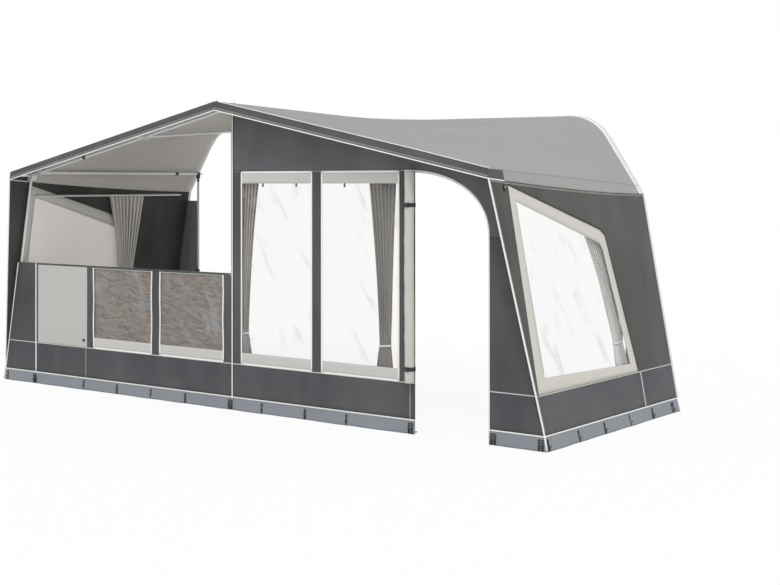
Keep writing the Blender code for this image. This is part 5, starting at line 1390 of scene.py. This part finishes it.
def make_trim():
    """White piping, sill and hem welts, seams with double stitching, and zips."""
    run = lines_between(-2.0, -1.0, 0.0, 1.0, 2.0, step=0.04)
    share = lines_between(-1.0, 0.0, 1.0, step=0.03)
    path = fascia_points(run, np.zeros_like(run)) + (0, -0.001, -0.0015)
    piping("canopy_piping", [path], 0.0046, "trim")
    path = roof_points(share, np.full_like(share, CANOPY_SEAM_Y)) + (0, 0, 0.0012)
    piping("roof_front_piping", [path], 0.0050, "trim")
    path = roof_points(share, np.full_like(share, CANOPY_Y + 0.002)) + (0, 0, -0.0005)
    piping("roof_front_edge", [path], 0.0030, "dark")
    piping("window_piping", window_lines(), 0.0078, "trim", 8, 0.42)

    welt_z, hem_z = SILL - 0.007, 0.107
    back = np.linspace(0.0, WALL_LENGTH, 50)
    heights = np.linspace(FLAP - 0.10, EAVE - FASCIA - 0.003, 60)
    welts = [front_line((-inside_x(welt_z), welt_z), (DOOR_EDGE, welt_z), 0.0012),
             front_line((DOOR_JAMB, welt_z), (inside_x(welt_z), welt_z), 0.0012)]
    hems = [front_line((-side_x(hem_z), hem_z), (DOOR_EDGE, hem_z), 0.0016),
            front_line((DOOR_JAMB, hem_z), (side_x(hem_z), hem_z), 0.0016)]
    welts += [on_side(side, back, welt_z, -0.0012) for side in (LEFT, RIGHT)]
    hems += [on_side(side, back, hem_z, -0.0016) for side in (LEFT, RIGHT)]
    edges = [on_side(side, np.minimum(leading(heights), 0.0) + 0.001, heights) for side in (LEFT, RIGHT)]
    piping("sill_welt", welts, 0.0040, "border", 6, 0.45)
    piping("hem_piping", hems, 0.0056, "trim", 6, 0.6)
    piping("leading_edge_piping", edges, 0.0060, "trim")

    x = DOOR_JAMB - (DOOR_JAMB - ARCH_START) * np.linspace(1, 0, 42) ** 2
    doorway = np.concatenate([on_front(x, arch_z(x), -0.0015),
                              front_line((DOOR_JAMB, ARCH_SPRING - 0.03), (DOOR_JAMB, 0.050), 0.0015)])
    piping("doorway_piping", [doorway], 0.0072, "trim", 8, 0.6)
    piping("door_zip_tape", [doorway + (0, 0.006, 0)], 0.011, "webbing", 6, 0.18)
    heights = np.linspace(0.112, WAIST - 0.004, 40)
    left = [front_line((-BAY_EDGE, heights[0]), (-BAY_EDGE, heights[-1])),
            on_front(0.004 - inside_x(heights), heights, -0.001)]
    piping("veranda_piping", left, 0.0074, "trim", 8, 0.42)

    spine = front_line((0, 0.090), (0, float(under_roof(0.0)) - 0.012), 0.0014, 0.02)
    piping("centre_zip_teeth", [spine], 0.0070, "zip", 6, 0.5)
    piping("centre_zip_tape", [spine + (0, 0.0009, 0)], 0.0135, "webbing", 6, 0.09)
    piping("double_stitching", stitch_lines(), 0.0011, "border", 5)

    corners = np.asarray(SIDE_FRAME + SIDE_FRAME[:1])
    grown = corners.mean(0) + (corners - corners.mean(0)) * 1.012
    grown[:, 0] = np.maximum(grown[:, 0], 0.003)
    skirt_seams, window_seams = [], []
    for side in (LEFT, RIGHT):
        skirt_seams.append(on_side(side, SIDE_SEAM - 0.002, np.linspace(0.110, SILL - 0.008, 16), -0.0008))
        for low, high in zip(grown[1:-2], grown[2:-1]):
            run = low + (high - low) * np.linspace(0, 1, 24)[:, None]
            window_seams.append(on_side(side, run[:, 0], run[:, 1], -0.0010))
    piping("skirt_seams", skirt_seams, 0.0030, "trim", 6)
    piping("window_edge_seams", window_seams, 0.0026, "webbing", 6)
    ridge = np.linspace(CANOPY_Y + 0.01, CLOTH_REAR_Y - 0.01, 30)
    eave = np.linspace(FRONT_Y + 0.01, CLOTH_REAR_Y - 0.01, 50)
    seams = [roof_points(np.zeros(30), ridge) + (0, 0, 0.0006)]
    seams += [roof_points(np.full(50, side * 1.0), eave) + (side * 0.0008, 0, 0.0006)
              for side in (LEFT, RIGHT)]
    piping("roof_seams", seams, 0.0022, "roof", 6, 0.6)
    piping("roof_eyelets", eyelet_rims(), 0.0022, "steel", 6)
    plug_z = 0.453
    plug = line((PLUG_X, FRONT_Y - 0.0005, plug_z), (PLUG_X, FRONT_Y - 0.010, plug_z), 0.004)
    piping("bay_plug", [plug], 0.012, "rubber", 14)


# Carried-over solids ----------------------------------------------------


def make_frame_finishes():
    """Gives the poles, legs, clamps, connectors, bead and sliders of the frame their finish."""
    collar, half_collar = 0.950, 0.0195
    pole_end = float(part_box("roof_pole_front_ridge")[1][1])
    tube = banded("plain_tube", "Z", [(0.0, 0.006)])
    wanted = {
        "leg_upper_rear": banded("rear_leg_with_collar", "Z", [(collar, half_collar), (1.955, 0.055)]),
        "leg_upper": banded("leg_with_collar", "Z", [(collar, half_collar)]),
        "leg_lower": tube,
        "gable_pole": banded("gable_with_blocks", "X", [(1.87, 0.0185)], fold=True),
        "roof_pole_front": banded("roof_pole_with_collar", "Y", [(pole_end - 0.018, half_collar)]),
        "roof_pole_rear": banded("roof_pole_pin", "Y", [(REAR_Y - 0.016, 0.014)]),
        "veranda_rail": tube,
        "clamp_lever": FINISH["plastic"],
        "peak_connector": FINISH["plastic"],
        "zip_slider": FINISH["zip"],
        "door_strap": FINISH["webbing"],
        "keder": FINISH["bead"],
    }
    for name in frame["nodes"]:
        finish = next((finish for start, finish in wanted.items() if name.startswith(start)), None)
        if finish is None:
            continue
        piece = bpy.data.objects[name]
        if piece.material_slots:
            for slot in piece.material_slots:
                slot.material = finish
        else:
            piece.data.materials.append(finish)


# Stage ------------------------------------------------------------------


def seen(tree):
    """1 for rays of the camera, of mirrors and through film, and 0 for the others."""
    rays = tree.nodes.new("ShaderNodeLightPath").outputs
    return math_node(tree, "MAXIMUM", rays["Is Camera Ray"],
                     math_node(tree, "MAXIMUM", rays["Is Glossy Ray"], rays["Is Transmission Ray"]))


def placed(name, data, **settings):
    """An object in the scene, with its place and turn."""
    made = bpy.data.objects.new(name, data)
    for key, value in settings.items():
        setattr(made, key, value)
    bpy.context.scene.collection.objects.link(made)
    return made


def make_stage(settings):
    """Pale floor, white surroundings, soft light, and the camera at the photograph's angle.

    The floor is mixed with plain light for what the camera, mirrors and film see of it.
    """
    size, white = 60.0, (1, 1, 1, 1)
    corners = [(-size, -size, 0), (size, -size, 0), (size, size, 0), (-size, size, 0)]
    ground = add_object("floor", corners, [(0, 1, 2, 3)], [])
    made, tree, shader = new_material("floor_paint")
    fill(tree, shader, Base_Color=(0.90, 0.90, 0.90, 1), Roughness=0.9, Specular_IOR_Level=0.1)
    light = node(tree, "ShaderNodeEmission", Color=white, Strength=1.0)
    mixed = node(tree, "ShaderNodeMixShader", i0=times(tree, seen(tree), 0.90), i1=shader.outputs[0],
                 i2=light.outputs[0])
    fill(tree, tree.nodes["Material Output"], Surface=mixed.outputs[0])
    ground.data.materials.append(made)

    world = bpy.data.worlds.new("soft_surroundings")
    bpy.context.scene.world = world
    world.use_nodes = True
    tree = world.node_tree
    sky = fill(tree, tree.nodes["Background"], Color=white, Strength=settings.sky)
    plain = node(tree, "ShaderNodeBackground", Color=white, Strength=1.0)
    mixed = node(tree, "ShaderNodeMixShader", i0=seen(tree), i1=sky.outputs[0], i2=plain.outputs[0])
    fill(tree, tree.nodes["World Output"], Surface=mixed.outputs[0])

    lamp = bpy.data.lights.new("soft_sun", "SUN")
    lamp.energy = settings.sun
    lamp.angle = math.radians(25)
    placed("soft_sun", lamp, rotation_euler=(math.radians(38), math.radians(8), math.radians(28)))

    lens = bpy.data.cameras.new("photo_camera")
    lens.lens = settings.lens
    lens.sensor_width = 36.0
    lens.shift_y = -0.139
    lens.clip_end = 200.0
    bpy.context.scene.camera = placed("photo_camera", lens, location=(7.801, -9.244, 1.878),
                                      rotation_euler=(math.radians(90), 0, settings.turn))
    bpy.context.scene.view_settings.view_transform = "Standard"


# Add-on -----------------------------------------------------------------


def colour_setting(name, what, code):
    """A colour property with a written default."""
    return bpy.props.FloatVectorProperty(name=name, description=what, subtype="COLOR", size=3, min=0, max=1,
                                         default=colour_of(code)[:3])


class AWNING_PG_shape(bpy.types.PropertyGroup):
    """Sizes of the cloth's sag, swell and waves."""

    sag: bpy.props.FloatProperty(name="Roof sag", description="Sag of the roof between two poles",
                                 default=0.012, min=0, max=0.03, unit="LENGTH")
    swell: bpy.props.FloatProperty(name="Wall swell", description="How far the wall cloth swells",
                                   default=0.0026, min=0, max=0.01, unit="LENGTH")
    film: bpy.props.FloatProperty(name="Film waves", description="Depth of the waves in the window film",
                                  default=0.0019, min=0, max=0.006, unit="LENGTH")


class AWNING_PG_colours(bpy.types.PropertyGroup):
    """Colours of the cloths."""

    roof: colour_setting("Roof", "Outside of the roof", "969898")
    lining: colour_setting("Lining", "Underside of the roof", "BFBBB5")
    band: colour_setting("Canopy band", "Band along the gable", "484A4D")
    # The dark cloth made lighter for the panel over the windows: painted light.
    header: colour_setting("Header", "Front panel over the windows", "535458")
    dark: colour_setting("Dark cloth", "Pillars between the windows", "3F4043")
    inside: colour_setting("Inner face", "Inside of the walls", "1E1E1F")
    skirt: colour_setting("Skirt", "Front wall under the sill", "393D43")
    side_skirt: colour_setting("Side skirt", "Side walls under the sill", "464A4F")
    side: colour_setting("Side cloth", "Side walls over the sill", "484745")
    border: colour_setting("Border", "Border of the side windows", "D0CEC6")
    blind: colour_setting("Blind", "Blind behind the veranda's windows", "978A7F")
    curtain: colour_setting("Curtain", "Front curtains", "554F49")
    trim: colour_setting("Piping", "Piping and welts", "F6F5F2")
    flap: colour_setting("Mud flap", "Flap along the ground", "848B94")


class AWNING_PG_stage(bpy.types.PropertyGroup):
    """Camera and light."""

    lens: bpy.props.FloatProperty(name="Lens", description="Focal length", default=62.59, min=20, max=200,
                                 unit="CAMERA")
    turn: bpy.props.FloatProperty(name="Turn", description="Turn of the camera about the vertical",
                                  default=math.radians(36.75), subtype="ANGLE")
    sky: bpy.props.FloatProperty(name="Surroundings", description="Strength of the white surroundings",
                                 default=0.85)
    sun: bpy.props.FloatProperty(name="Sun", description="Strength of the soft sun", default=1.0)


class AWNING_OT_finishes(bpy.types.Operator):
    """Make the finishes of cloth, film, trim and hard parts"""

    bl_idname = "awning.finishes"
    bl_label = "Finishes"
    bl_options = {"REGISTER", "UNDO"}

    def execute(self, context):
        FINISH.update(make_finishes(context.scene.awning_colours))
        return {"FINISHED"}


class AWNING_OT_stage(bpy.types.Operator):
    """Make the floor, the light and the camera"""

    bl_idname = "awning.stage"
    bl_label = "Stage"
    bl_options = {"REGISTER", "UNDO"}

    def execute(self, context):
        make_stage(context.scene.awning_stage)
        return {"FINISHED"}


class AWNING_OT_roof(bpy.types.Operator):
    """Make the roof cloth and the canopy band"""

    bl_idname = "awning.roof"
    bl_label = "Roof"
    bl_options = {"REGISTER", "UNDO"}

    def execute(self, context):
        make_roof(context.scene.awning_shape)
        make_fascia()
        return {"FINISHED"}


class AWNING_OT_side_walls(bpy.types.Operator):
    """Make the side walls with their windows, tracks and buckles"""

    bl_idname = "awning.side_walls"
    bl_label = "Side walls"
    bl_options = {"REGISTER", "UNDO"}

    def execute(self, context):
        make_side_walls(context.scene.awning_shape)
        return {"FINISHED"}


class AWNING_OT_front_wall(bpy.types.Operator):
    """Make the front panels and the header"""

    bl_idname = "awning.front_wall"
    bl_label = "Front wall"
    bl_options = {"REGISTER", "UNDO"}

    def execute(self, context):
        make_front_panels(context.scene.awning_shape)
        make_header(context.scene.awning_shape)
        return {"FINISHED"}


class AWNING_OT_windows(bpy.types.Operator):
    """Make the borders and films of the front windows"""

    bl_idname = "awning.windows"
    bl_label = "Front windows"
    bl_options = {"REGISTER", "UNDO"}

    def execute(self, context):
        make_front_windows(context.scene.awning_shape)
        return {"FINISHED"}


class AWNING_OT_veranda(bpy.types.Operator):
    """Make the blind and the folded panel of the veranda"""

    bl_idname = "awning.veranda"
    bl_label = "Veranda"
    bl_options = {"REGISTER", "UNDO"}

    def execute(self, context):
        make_veranda()
        return {"FINISHED"}


class AWNING_OT_door(bpy.types.Operator):
    """Make the rolled-up door panel"""

    bl_idname = "awning.door"
    bl_label = "Rolled door"
    bl_options = {"REGISTER", "UNDO"}

    def execute(self, context):
        make_door()
        return {"FINISHED"}


class AWNING_OT_hem(bpy.types.Operator):
    """Make the mud flaps, draught panels, peg ladders and pegs"""

    bl_idname = "awning.hem"
    bl_label = "Hem"
    bl_options = {"REGISTER", "UNDO"}

    def execute(self, context):
        make_hem()
        return {"FINISHED"}


class AWNING_OT_curtains(bpy.types.Operator):
    """Make the tied-back curtains"""

    bl_idname = "awning.curtains"
    bl_label = "Curtains"
    bl_options = {"REGISTER", "UNDO"}

    def execute(self, context):
        make_curtains()
        return {"FINISHED"}


class AWNING_OT_trim(bpy.types.Operator):
    """Make piping, welts, stitching and zips"""

    bl_idname = "awning.trim"
    bl_label = "Trim"
    bl_options = {"REGISTER", "UNDO"}

    def execute(self, context):
        make_trim()
        return {"FINISHED"}


class AWNING_OT_frame_finishes(bpy.types.Operator):
    """Give the carried-over poles and fittings their finishes"""

    bl_idname = "awning.frame_finishes"
    bl_label = "Frame finishes"
    bl_options = {"REGISTER", "UNDO"}

    def execute(self, context):
        make_frame_finishes()
        return {"FINISHED"}


OPERATORS = (AWNING_OT_finishes, AWNING_OT_stage, AWNING_OT_roof, AWNING_OT_side_walls,
             AWNING_OT_front_wall, AWNING_OT_windows, AWNING_OT_veranda, AWNING_OT_door, AWNING_OT_hem,
             AWNING_OT_curtains, AWNING_OT_trim, AWNING_OT_frame_finishes)


class AWNING_PT_panel(bpy.types.Panel):
    """Lists the settings and the steps of the awning."""

    bl_label = "Caravan awning"
    bl_idname = "AWNING_PT_panel"
    bl_space_type = "VIEW_3D"
    bl_region_type = "UI"
    bl_category = "Awning"

    def draw(self, context):
        layout = self.layout
        for group in (context.scene.awning_shape, context.scene.awning_colours, context.scene.awning_stage):
            box = layout.box()
            for key in group.__annotations__:
                box.prop(group, key)
        for operator in OPERATORS:
            layout.operator(operator.bl_idname)


CLASSES = (AWNING_PG_shape, AWNING_PG_colours, AWNING_PG_stage, *OPERATORS, AWNING_PT_panel)


def register():
    """Registers the classes and the settings."""
    for one in CLASSES:
        bpy.utils.register_class(one)
    bpy.types.Scene.awning_shape = bpy.props.PointerProperty(type=AWNING_PG_shape)
    bpy.types.Scene.awning_colours = bpy.props.PointerProperty(type=AWNING_PG_colours)
    bpy.types.Scene.awning_stage = bpy.props.PointerProperty(type=AWNING_PG_stage)


def unregister():
    """Removes the settings and the classes."""
    for name in ("awning_shape", "awning_colours", "awning_stage"):
        delattr(bpy.types.Scene, name)
    for one in reversed(CLASSES):
        bpy.utils.unregister_class(one)


def main():
    """Registers the classes and makes every piece in order."""
    register()
    for operator in OPERATORS:
        group, name = operator.bl_idname.split(".")
        getattr(getattr(bpy.ops, group), name)()


if __name__ == "__main__":
    main()
